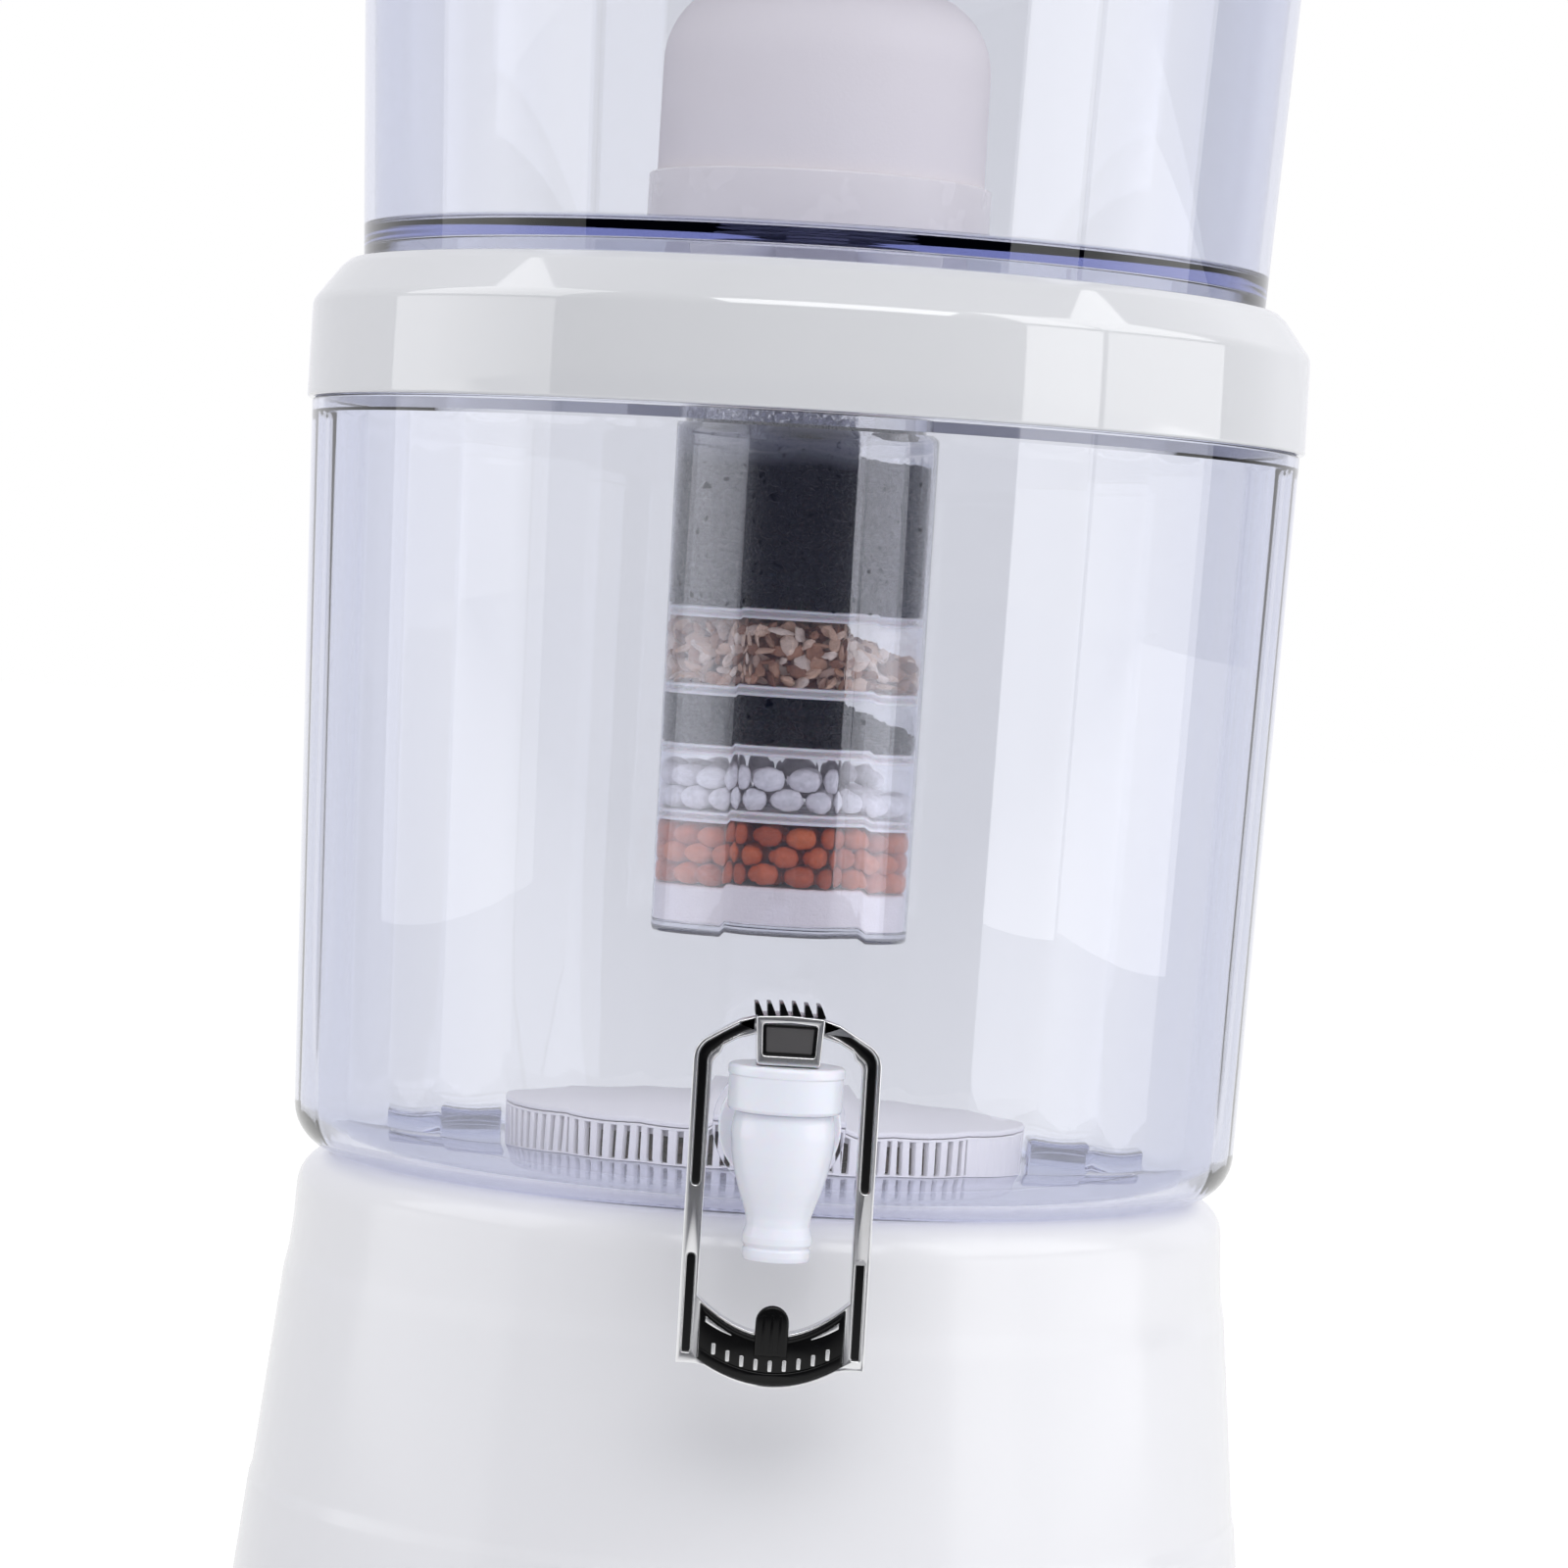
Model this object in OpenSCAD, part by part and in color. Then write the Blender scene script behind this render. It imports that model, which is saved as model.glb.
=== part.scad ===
// Gravity water filter with tap: a stand, a fluted lower tank with a push-lever
// tap, a collar, an upper tank with a ceramic dome, a mineral cartridge, a case
// of stones and a lid. Millimetres. The origin is on the ground under the
// stand's centre, +Z is up and the tap faces -Y.

/* [Stand] */
// Height of the stand from the ground to the tank's seat
stand_h = 125; // [115:1:160]
// How far the stand's shoulder sits inside the lower tank's side
stand_inset = 1.4; // [0:0.1:4]
// How far the stand's foot spreads past its shoulder
stand_flare = 11.2; // [6:0.2:24]
// Radius of the stand's shoulder
stand_shoulder_r = 12; // [6:1:14]
// Wall of the stand's shell
stand_wall = 3; // [2:0.5:5]
// Width of the flat rim that rests on the ground
stand_rim_w = 8; // [5:1:14]
// Depth of each soft step on the stand's side
stand_step = 0.6; // [0.3:0.1:1.2]
// Height of the ribs under the stand's top
stand_rib_h = 14; // [6:1:24]

/* [Lower tank] */
// Height of the lower tank from its foot to its shoulder
tank_h = 218.4; // [214:0.2:240]
// Diameter of the lower tank at its shoulder
tank_top_d = 290.6; // [240:0.2:340]
// How far the lower tank's side leans in from its shoulder to its bottom corner
tank_taper = 7.1; // [4:0.1:10]
// Radius of the lower tank's bottom corner
tank_corner_r = 14; // [12:1:16]
// Wall of the lower tank at the middle of a flute
tank_wall = 4; // [3.6:0.1:4.6]
// Thickness of the lower tank's floor
tank_floor_t = 2.4; // [2:0.2:3.6]
// Depth of the recess under the lower tank's floor
tank_recess = 1.4; // [1:0.1:2]
// Number of flutes inside the lower tank
flute_count = 40; // [32:2:44]
// Width of the flute behind the tap, in degrees
flute_front = 11.2; // [9:0.2:14]
// How far the flutes are turned from the tap's middle, in degrees
flute_turn = -1.3; // [-3:0.1:3]
// Distance from the shoulder down to the flutes' tops
flute_drop = 4.5; // [2:0.5:10]
// Step from the shoulder in to the neck that the collar covers
neck_step = 1.4; // [1.2:0.1:2]

/* [Collar] */
// How far the collar stands out past the lower tank's shoulder
collar_overhang = 1.5; // [0.6:0.1:4]
// Wall of the collar's skirt
collar_wall = 2.4; // [2:0.1:2.8]
// Height of the collar's skirt up to its shoulder
collar_skirt_h = 25.5; // [24.5:0.5:27]
// Height of the collar from its bottom edge to its mouth
collar_h = 41; // [39:0.5:44]
// Height of the collar's seat for the upper tank
collar_seat_h = 30; // [29:0.5:32]
// Thickness of the collar's seat
collar_seat_t = 3; // [2.5:0.5:5]
// Height of the ledge that rests on the tank's neck
collar_ledge_h = 28.5; // [27.5:0.5:30]
// Diameter of the collar's middle hole
collar_hole_d = 90; // [84:1:120]

/* [Upper tank] */
// How far the upper tank's base sits inside the lower tank's shoulder
upper_inset = 13.2; // [12.6:0.1:20]
// How far the upper tank's side leans out from its base to its rim
upper_flare = 10.8; // [6:0.1:14]
// Height of the upper tank
upper_h = 196.7; // [170:1:220]
// Wall of the upper tank
upper_wall = 3.2; // [2.6:0.1:4]
// Height of the upper tank's floor above its base
upper_floor_z = 19.7; // [18:0.1:24]
// Thickness of the upper tank's floor
upper_floor_t = 4.5; // [3:0.5:6]

/* [Lid] */
// How far the lid stands out past the upper tank's side
lid_overhang = 4; // [3.8:0.1:8]
// Wall of the lid
lid_wall = 2.6; // [2:0.1:2.8]
// Depth of the lid's skirt below the tank's rim
lid_skirt = 10; // [6:1:16]
// Height of the lid's crown above the tank's rim
lid_crown = 24; // [18:1:32]
// Diameter of the lid's knob
knob_d = 40; // [30:1:60]
// Height of the lid's knob
knob_h = 28; // [22:1:36]
// Diameter of the knob's screw
knob_screw_d = 4; // [3:0.5:5]

/* [Ceramic dome] */
// Diameter of the ceramic dome
dome_d = 96.5; // [90:0.5:110]
// Height of the dome above the upper tank's floor
dome_h = 80; // [70:1:96]
// Radius of the dome's shoulder
dome_round_r = 26; // [14:1:36]
// Wall of the ceramic
dome_wall = 8; // [5:1:12]
// Height of the dome's base ring
dome_ring_h = 22; // [12:1:28]
// Wall of the dome's base ring
dome_ring_wall = 2; // [1.5:0.1:3]
// Thickness of the dome base's plate
dome_plate_t = 6; // [4:0.5:8]
// Diameter of the dome's threaded stem
dome_stem_d = 12; // [10:0.5:16]
// Length of the stem below the upper tank's floor
dome_stem_l = 23; // [20:1:24]
// Thickness of the dome's nut
dome_nut_t = 6; // [4:0.5:7]
// Thickness of each flat gasket
gasket_t = 2; // [1.5:0.1:2.5]

/* [Mineral cartridge] */
// Outside diameter of the cartridge's tube
cart_d = 75.4; // [70:0.2:79]
// Wall of the cartridge's tube
cart_wall = 2; // [1.5:0.1:3]
// Length of the tube
cart_l = 180.3; // [170:0.1:186]
// Thickness of the tube's base
cart_base_t = 3; // [2:0.5:5]
// Length of the cap's skirt over the tube
cap_skirt = 20; // [12:1:24]
// Wall of the cap
cap_wall = 2.1; // [1.8:0.1:3]
// Thickness of each divider
divider_t = 3; // [2:0.2:4]
// Thickness of the pad in the tube's base
pad_t = 10.9; // [6:0.1:16]
// Heights of the layers from the pad up: red balls, white balls, lower carbon, chips
layer_h = [18.1, 16, 14, 19]; // [10:0.5:30]
// Height of the layer of carbon on top
carbon_h = 41.5; // [30:0.5:48]

/* [Stone case] */
// Diameter of the stone case
case_d = 150; // [120:1:151]
// Height of the stone case's basket
case_h = 14.4; // [12:0.2:20]
// Wall of the stone case
case_wall = 2; // [1.5:0.1:3]
// Spacing of the case's slots round its wall
slot_pitch = 4.3; // [4:0.1:8]
// Width of each slot
slot_w = 1.9; // [1:0.1:2.4]
// Thickness of the case's lid
case_lid_t = 1.6; // [1:0.1:3]

/* [Tap] */
// Height of the tap's shank above the tank's foot
tap_z = 26; // [24:0.5:40]
// Distance from the tank's pad to the nozzle's axis
tap_reach = 34; // [32:0.5:44]
// Diameter of the tap's threaded shank
shank_d = 16; // [13:0.5:17]
// Diameter of the tap's flange
flange_d = 33; // [28:0.5:36]
// Widest diameter of the tap's body
vase_d = 27.6; // [27:0.2:29]
// Diameter of the tap's bonnet
bonnet_d = 31; // [30.4:0.2:33]
// Height of the tap's bonnet
bonnet_h = 12.2; // [11.6:0.2:14]
// Diameter of the valve's rod
rod_d = 4.4; // [3.6:0.2:5]
// Turns of the valve's spring
spring_turns = 6; // [4:1:9]

/* [Lever] */
// Width of the lever across its legs
lever_w = 49.5; // [47:0.5:58]
// Width of each leg
leg_w = 5; // [4:0.5:6]
// Depth of the legs from front to back
leg_depth = 6; // [4:0.5:8]
// Length of the legs below the cross pin
leg_l = 84.5; // [78:0.5:92]
// Width of the lever's block
block_w = 17.9; // [16:0.1:20]
// Height of the lever's block
block_h = 13.2; // [12:0.1:15]
// Depth of the lever's block from front to back
block_depth = 18; // [14:1:22]
// Diameter of the cross pin
pin_d = 3; // [2:0.2:4]

/* [Fits] */
// Gap left under a piece that lifts off
seat_gap = 0.3; // [0.2:0.05:0.4]
// Radial gap between pieces that slide into each other
slip = 0.5; // [0.3:0.05:0.6]
// Radial gap between pieces that are screwed or clipped together
snug = 0.1; // [0.05:0.01:0.15]
// Radial running gap of the cross pin and the valve's rod
running = 0.05; // [0.02:0.01:0.1]

/* [Hidden] */
$fn = 96;

function arc(c, r, a0, a1, n = 6) =
    [for (i = [0:n]) let (a = a0 + (a1 - a0) * i / n) c + r * [cos(a), sin(a)]];
function mix(a, b, t) = a + (b - a) * t;

// how far joined solids reach into each other, and the break of a sharp edge
bite = 0.5;
edge = 0.6;

// main radii, all from the lower tank's shoulder
tank_top_r = tank_top_d / 2;
tank_bottom_r = tank_top_r - tank_taper;
upper_base_r = tank_top_r - upper_inset;
upper_rim_r = upper_base_r + upper_flare;
stand_side_r = tank_bottom_r - stand_inset;
stand_foot_r = stand_side_r + stand_flare;
stand_side_h = stand_h - stand_shoulder_r;
stand_flat_r = stand_side_r - 2 * stand_step - stand_shoulder_r;
step_depths = [32.5, 94.5];
stand_rib_count = 6;
stand_rib_t = 2.2;
stand_hub_r = 30;
function stand_r(z) = mix(stand_foot_r, stand_side_r, z / stand_side_h);

// lower tank, heights above its foot
tank_base = stand_h + seat_gap;
tank_floor_z = tank_recess + tank_floor_t;
foot_ring_w = 14.2;
tank_foot_in = tank_bottom_r - tank_corner_r - foot_ring_w;
neck_r = tank_top_r - neck_step;
neck_top = tank_h + collar_ledge_h;
inner_corner_r = 11;
flute_step = (360 - flute_front) / (flute_count - 1);
flute_half = flute_step / 2;
flute_top = tank_h - flute_drop;
scallop_h = 3;
function tank_r(z) =
    mix(tank_bottom_r, tank_top_r, (z - tank_corner_r) / (tank_h - tank_corner_r));
function flute_r(z) = tank_r(z) - tank_wall;
function flute_corner(z) = flute_r(z) / cos(flute_half);
neck_in_r = flute_corner(flute_top);

// lugs on the tank's floor beside the case
lug_gap = 1.5;
lug_in = case_d / 2 + lug_gap;
lug_l = 17.5;
lug_w = 28;
lug_h = 11.8;
lug_ledge_l = 17;
lug_ledge_t = 6.5;
lug_ledge_drop = 2.1;

// collar, heights above its bottom edge
collar_base = tank_base + tank_h + seat_gap;
collar_r = tank_top_r + collar_overhang;
collar_in = collar_r - collar_wall;
collar_mouth_gap = 1.4;
collar_mouth_r = upper_side_r(collar_h - collar_seat_h) + collar_mouth_gap;
collar_recess_r = collar_mouth_r - 0.4;
collar_round_r = 5;
collar_lip_w = 2;
collar_ledge_w = 4.5;
collar_groove_h = 4;
collar_groove_r = collar_mouth_r + collar_wall;

// upper tank, heights above its base
upper_base = collar_base + collar_seat_h + seat_gap;
function upper_side_r(z) = mix(upper_base_r, upper_rim_r, z / upper_h);
upper_in_floor = upper_base + upper_floor_z;
upper_under_floor = upper_in_floor - upper_floor_t;
rim_bead = 1;
rim_bead_h = 5;
upper_corner_r = 2;
stem_gap = 0.3;
hub_hole_r = dome_stem_d / 2 + stem_gap;

// lid, heights above the tank's rim
rim_z = upper_base + upper_h;
lid_base = rim_z + seat_gap;
lid_r = upper_rim_r + lid_overhang;
lid_round_r = 6;
lid_shoulder_z = 8;
lid_plug_gap = 1.1;
lid_plug_h = 8;
lid_plug_wall = 2.2;
lid_centre_r = 30;
lid_bore_r = knob_screw_d / 2 + 0.3;

// dome
dome_base_z = upper_in_floor + seat_gap;
dome_ring_r = dome_d / 2 + seat_gap + dome_ring_wall;
dome_crown = 2;
dome_gasket_r = 20;
stem_bottom = upper_under_floor - dome_stem_l;
nut_corner_r = dome_stem_d / 2 + 8;
nut_bottom = upper_under_floor - dome_nut_t;

// cartridge
cart_r = cart_d / 2;
cart_in = cart_r - cart_wall;
cap_top = nut_bottom - seat_gap - gasket_t;
cap_plate_t = 4;
cap_hub_r = 12;
cap_hub_l = 13;
cap_space = 1.4;
cart_top = cap_top - cap_plate_t - cap_space;
cart_bottom = cart_top - cart_l;
pad_bottom = cart_bottom + cart_base_t;
fill_gap = 0.4;
media_r = cart_in - fill_gap;
ball_settle = 1;
grain_settle = 0.6;
carbon_slope = [19, 10];
chips_slope = [22, 8];
function stack(i) = i == 0 ? pad_bottom + pad_t : stack(i - 1) + layer_h[i - 1] + divider_t;
divider_z = [for (i = [0:3]) stack(i) + layer_h[i]];
carbon_bottom = divider_z[3] + divider_t;

// stone case
case_base = tank_base + tank_floor_z + seat_gap;
case_r = case_d / 2;
case_floor_t = 2;
slot_count = floor(360 / (slot_pitch / case_r * 180 / PI));
slot_step = 360 / slot_count;
slot_margin = 0.8;
slot_dip = 0.6;
case_lid_base = case_base + case_h + seat_gap;
case_lid_ring_h = 3;
case_lid_ring_t = 1.6;
plain_from = 52;
plain_to = 78;

// tap, its own axis is vertical through the nozzle
tap_h = tank_base + tap_z;
tap_pad_proud = 0.5;
tap_pad_r = flange_d / 2 + 1.5;
tap_pad_out = tank_r(tap_z + tap_pad_r) + tap_pad_proud;
tap_pad_in = flute_r(tap_z) - 1.6;
tap_pad_in_r = shank_d / 2 + 7.5;
tap_y = -(tap_pad_out + tap_reach);
shank_r = shank_d / 2;
vase_r = vase_d / 2;
flange_t = 3;
tap_gasket_t = 1.5;
shank_in = 14;
shank_gap = 0.25;
inlet_r = 5.5;
chamber_r = 9;
outlet_r = 6;
thread_r = vase_r - 1.2;
nozzle_drop = 31.9;
bonnet_low = 7.3;
bonnet_top = bonnet_low + bonnet_h;
bonnet_plate = 3;
bonnet_gap = 0.4;
barrel_r = bonnet_low - bonnet_gap;
tap_nut_r = shank_r + 5.6;
seat_low = -16;
seat_high = -9;
seal_h = 5;
spring_r = 5;
wire_r = 0.6;
rod_stop_t = 1.4;
seal_gap = 0.15;

// lever, heights above the tap's shank
block_low = bonnet_top + seat_gap;
block_top = block_low + block_h;
pin_h = block_low + 4.9;
rod_top = pin_h + rod_d / 2 + 1;
rod_slot = 9.4;
badge_w = 13.8;
badge_h = 8;
badge_t = 1;
badge_sunk = 0.9;
leg_out = lever_w / 2;
leg_in = leg_out - leg_w;
leg_bottom = pin_h - leg_l;
arch_drop = 5.3;
arch_t = 4.7;
arch_x = 18;
arch_top = block_top - 0.8;
arch_out_r = 7;
arch_in_r = 4;
inlay_w = 2.8;
inlay_depth = 0.8;
inlay_end = -13;
inlay_low_top = -31;
inlay_low_end = leg_bottom + 3;
grip_count = 6;
grip_h = 3;
grip_w = 1.5;
grip_lean = 22;
tray_top = leg_bottom + 17.5;
tray_dip = 9;
tray_low = 6.5;
tray_rim = 1;
pocket_depth = 1.2;
pad_proud = 0.8;
pad_knob_w = 8.8;
pad_knob_proud = 0.8;
pad_knob_drop = 1.2;
pad_stem_l = 9;
pad_rib_count = 9;
pad_rib_w = 1.1;
pad_rib_h = 3;
pad_rib_low = 4.4;
pad_rib_span = 15;
pad_rib_t = 0.5;

// ---------- stand ----------

module stand() {
    steps = [for (d = step_depths) stand_h - d];
    outer = concat(
        [
            [stand_foot_r, 0],
            [stand_r(steps[1]), steps[1]],
            [stand_r(steps[1]) - stand_step, steps[1] + stand_step],
            [stand_r(steps[0]) - stand_step, steps[0]],
            [stand_r(steps[0]) - 2 * stand_step, steps[0] + stand_step]
        ],
        arc([stand_flat_r, stand_side_h], stand_shoulder_r, 0, 90, 8)
    );
    inner = [
        [0, stand_h],
        [0, stand_h - stand_wall],
        [stand_flat_r, stand_h - stand_wall],
        [stand_side_r - 2 * stand_step - stand_wall, stand_side_h],
        [stand_r(stand_wall) - stand_wall, stand_wall],
        [stand_foot_r - stand_rim_w, stand_wall],
        [stand_foot_r - stand_rim_w, 0]
    ];
    color("white") {
        rotate_extrude() polygon(concat(outer, inner));
        translate([0, 0, stand_h - bite])
            cylinder(h = bite + tank_recess - seat_gap, r = tank_foot_in - slip);
        for (i = [0:stand_rib_count - 1])
            rotate(i * 360 / stand_rib_count)
                translate([stand_hub_r - 1, -stand_rib_t / 2, stand_h - stand_wall - stand_rib_h])
                    cube([stand_flat_r - stand_hub_r, stand_rib_t, stand_rib_h + 1]);
        translate([0, 0, stand_h - stand_wall - stand_rib_h])
            difference() {
                cylinder(h = stand_rib_h + 1, r = stand_hub_r);
                translate([0, 0, -1])
                    cylinder(h = stand_rib_h + 1, r = stand_hub_r - stand_rib_t);
            }
    }
}

// ---------- lower tank ----------

// The flat flutes: a many-sided prism that widens with the tank's side.
module flute_prism(z0, z1) {
    translate([0, 0, z0])
        linear_extrude(height = z1 - z0, scale = flute_r(z1) / flute_r(z0))
            polygon([
                for (i = [0:flute_count - 1])
                    let (a = -90 + flute_turn + flute_front / 2 + i * flute_step)
                        flute_corner(z0) * [cos(a), sin(a)]
            ]);
}

module tank_cavity() {
    corner_r = flute_corner(tank_floor_z + inner_corner_r) - inner_corner_r;
    intersection() {
        flute_prism(tank_floor_z, flute_top);
        rotate_extrude()
            polygon(concat(
                [[0, tank_floor_z]],
                arc([corner_r, tank_floor_z + inner_corner_r], inner_corner_r, -90, 0, 8),
                [[neck_in_r + 2, flute_top], [0, flute_top]]
            ));
    }
    rotate_extrude()
        polygon([
            [0, flute_top - scallop_h],
            [flute_r(flute_top - scallop_h), flute_top - scallop_h],
            [neck_in_r, flute_top],
            [neck_in_r, neck_top + 1],
            [0, neck_top + 1]
        ]);
}

module tank_shell() {
    outer = concat(
        [[0, 0]],
        arc([tank_bottom_r - tank_corner_r, tank_corner_r], tank_corner_r, -90, 0, 8),
        [
            [tank_top_r, tank_h - edge],
            [tank_top_r - edge, tank_h],
            [neck_r, tank_h],
            [neck_r, neck_top],
            [0, neck_top]
        ]
    );
    difference() {
        rotate_extrude() polygon(outer);
        tank_cavity();
        translate([0, 0, -1]) cylinder(h = 1 + tank_recess, r = tank_foot_in);
    }
}

// One moulded lug: a block beside the case with a ledge towards the wall.
module case_lug() {
    translate([lug_in, -lug_w / 2, tank_floor_z - bite])
        cube([lug_l, lug_w, lug_h + bite]);
    translate([lug_in + lug_l - bite, -lug_w / 2, tank_floor_z + lug_h - lug_ledge_drop - lug_ledge_t])
        cube([lug_ledge_l + bite, lug_w, lug_ledge_t]);
}

module lower_tank() {
    color("lavender")
        translate([0, 0, tank_base])
            difference() {
                union() {
                    tank_shell();
                    for (side = [0, 180]) rotate(side) case_lug();
                    translate([0, -flute_r(tap_z), tap_z]) rotate([90, 0, 0])
                        cylinder(h = tap_pad_out - flute_r(tap_z), r = tap_pad_r);
                    translate([0, -tap_pad_in, tap_z]) rotate([90, 0, 0])
                        cylinder(h = tap_pad_out - tap_pad_in - 1, r = tap_pad_in_r);
                }
                translate([0, -tap_pad_in + 1, tap_z]) rotate([90, 0, 0])
                    cylinder(h = tap_pad_out - tap_pad_in + 2, r = shank_r + shank_gap);
            }
}

// ---------- collar ----------

module collar() {
    section = concat(
        [[collar_in, 0], [collar_r, 0], [collar_r, collar_skirt_h]],
        arc([collar_r - collar_round_r, collar_skirt_h + 2], collar_round_r, 0, 55, 5),
        [
            [collar_mouth_r + collar_lip_w, collar_h - 1],
            [collar_mouth_r + collar_lip_w / 2, collar_h],
            [collar_mouth_r, collar_h],
            [collar_recess_r, collar_seat_h],
            [collar_hole_d / 2, collar_seat_h],
            [collar_hole_d / 2, collar_seat_h - collar_seat_t],
            [collar_groove_r, collar_seat_h - collar_seat_t],
            [collar_groove_r, collar_seat_h + collar_groove_h],
            [collar_in - collar_ledge_w, collar_seat_h + collar_groove_h - 1.5],
            [collar_in - collar_ledge_w, collar_ledge_h],
            [collar_in, collar_ledge_h]
        ]
    );
    color("white") translate([0, 0, collar_base]) rotate_extrude() polygon(section);
}

// ---------- upper tank and lid ----------

module upper_tank() {
    in_r = upper_side_r(upper_floor_z) - upper_wall;
    section = concat(
        [[upper_base_r - upper_wall, 0], [upper_base_r, 0]],
        [
            [upper_side_r(upper_h - rim_bead_h), upper_h - rim_bead_h],
            [upper_rim_r + rim_bead, upper_h - rim_bead_h + rim_bead],
            [upper_rim_r + rim_bead, upper_h],
            [upper_rim_r - upper_wall, upper_h]
        ],
        arc([in_r - upper_corner_r, upper_floor_z + upper_corner_r], upper_corner_r, 0, -90, 6),
        [
            [hub_hole_r, upper_floor_z],
            [hub_hole_r, upper_floor_z - upper_floor_t],
            [upper_base_r - upper_wall, upper_floor_z - upper_floor_t]
        ]
    );
    color("lavender") translate([0, 0, upper_base]) rotate_extrude() polygon(section);
}

module lid() {
    plug_r = upper_rim_r - upper_wall - lid_plug_gap;
    outer = concat(
        [[lid_r, -lid_skirt]],
        arc([lid_r - lid_round_r, lid_shoulder_z - lid_round_r], lid_round_r, 0, 75, 6),
        [[lid_centre_r, lid_crown], [lid_bore_r, lid_crown]]
    );
    inner = [
        [lid_bore_r, lid_crown - lid_wall],
        [lid_centre_r, lid_crown - lid_wall],
        [plug_r - lid_plug_wall, lid_shoulder_z - lid_wall],
        [plug_r - lid_plug_wall, -lid_plug_h],
        [plug_r, -lid_plug_h],
        [plug_r, 0],
        [lid_r - lid_wall, 0],
        [lid_r - lid_wall, -lid_skirt]
    ];
    color("white") translate([0, 0, lid_base]) rotate_extrude() polygon(concat(outer, inner));
}

module lid_knob() {
    r = knob_d / 2;
    round_r = 5;
    bore = knob_screw_d / 2 + running;
    color("white")
        translate([0, 0, lid_base + lid_crown])
            rotate_extrude()
                polygon(concat(
                    [[bore, 0], [r * 0.75, 0], [r * 0.6, knob_h * 0.25], [r * 0.6, knob_h * 0.45]],
                    [[r, knob_h * 0.7]],
                    arc([r - round_r, knob_h - round_r], round_r, 0, 90, 5),
                    [[0, knob_h], [0, knob_h * 0.7], [bore, knob_h * 0.7]]
                ));
}

module lid_screw() {
    head_h = 2.4;
    color("silver")
        translate([0, 0, lid_base + lid_crown - lid_wall]) {
            cylinder(h = lid_wall + knob_h * 0.6, d = knob_screw_d);
            translate([0, 0, -head_h]) cylinder(h = head_h, d = 2 * knob_screw_d);
        }
}

// ---------- ceramic dome ----------

module dome_ceramic() {
    r = dome_d / 2;
    low = dome_base_z + dome_plate_t;
    high = upper_in_floor + dome_h;
    in_round = dome_round_r - dome_wall;
    color("linen")
        rotate_extrude()
            polygon(concat(
                [[r - dome_wall, low], [r, low]],
                arc([r - dome_round_r, high - dome_round_r - dome_crown], dome_round_r, 0, 86, 10),
                [[0, high], [0, high - dome_wall]],
                arc([r - dome_round_r, high - dome_round_r - dome_crown], in_round, 86, 0, 8)
            ));
}

module dome_base() {
    stem_r = dome_stem_d / 2;
    bore_r = 3.2;
    color("white")
        translate([0, 0, dome_base_z])
            rotate_extrude()
                polygon([
                    [bore_r, stem_bottom - dome_base_z],
                    [stem_r, stem_bottom - dome_base_z],
                    [stem_r, gasket_t - seat_gap],
                    [dome_gasket_r + 1, gasket_t - seat_gap],
                    [dome_gasket_r + 1, 0],
                    [dome_ring_r - 1, 0],
                    [dome_ring_r, 1],
                    [dome_ring_r, dome_ring_h - 1],
                    [dome_ring_r - edge, dome_ring_h],
                    [dome_ring_r - dome_ring_wall, dome_ring_h],
                    [dome_ring_r - dome_ring_wall, dome_plate_t],
                    [bore_r, dome_plate_t]
                ]);
}

module dome_gasket() {
    color("gainsboro")
        translate([0, 0, upper_in_floor])
            ring(dome_gasket_r, dome_stem_d / 2 + snug, gasket_t);
}

module dome_nut() {
    color("white")
        translate([0, 0, nut_bottom])
            difference() {
                cylinder(h = dome_nut_t, r = nut_corner_r, $fn = 6);
                translate([0, 0, -1])
                    cylinder(h = dome_nut_t + 2, r = dome_stem_d / 2 + snug, $fn = 96);
            }
}

module ring(outer, inner, h) {
    difference() {
        cylinder(h = h, r = outer);
        translate([0, 0, -1]) cylinder(h = h + 2, r = inner);
    }
}

// ---------- mineral cartridge ----------

module cartridge_cap() {
    cap_r = cart_r + snug + cap_wall;
    skirt_low = cart_top - cap_skirt;
    stem_hole = dome_stem_d / 2 + running;
    color("white")
        rotate_extrude()
            polygon([
                [stem_hole, cap_top],
                [cap_r - 2, cap_top],
                [cap_r, cap_top - 2],
                [cap_r, skirt_low],
                [cart_r + snug, skirt_low],
                [cart_r + snug, cap_top - cap_plate_t],
                [cap_hub_r, cap_top - cap_plate_t],
                [cap_hub_r, cap_top - cap_hub_l],
                [stem_hole, cap_top - cap_hub_l]
            ]);
}

module cartridge_gasket() {
    color("gainsboro")
        translate([0, 0, cap_top]) ring(cap_hub_r, dome_stem_d / 2 + stem_gap, gasket_t);
}

module cartridge_body() {
    drain_r = 2;
    drain_rows = [[8, 0.3], [14, 0.65]];
    color("lavender")
        difference() {
            translate([0, 0, cart_bottom]) cylinder(h = cart_l, r = cart_r);
            translate([0, 0, pad_bottom]) cylinder(h = cart_l, r = cart_in);
            for (row = drain_rows, i = [0:row[0] - 1])
                rotate(i * 360 / row[0])
                    translate([cart_in * row[1], 0, cart_bottom - 1])
                        cylinder(h = cart_base_t + 2, r = drain_r, $fn = 24);
        }
}

module cartridge_pad() {
    color("seashell") translate([0, 0, pad_bottom]) cylinder(h = pad_t, r = media_r);
}

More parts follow.
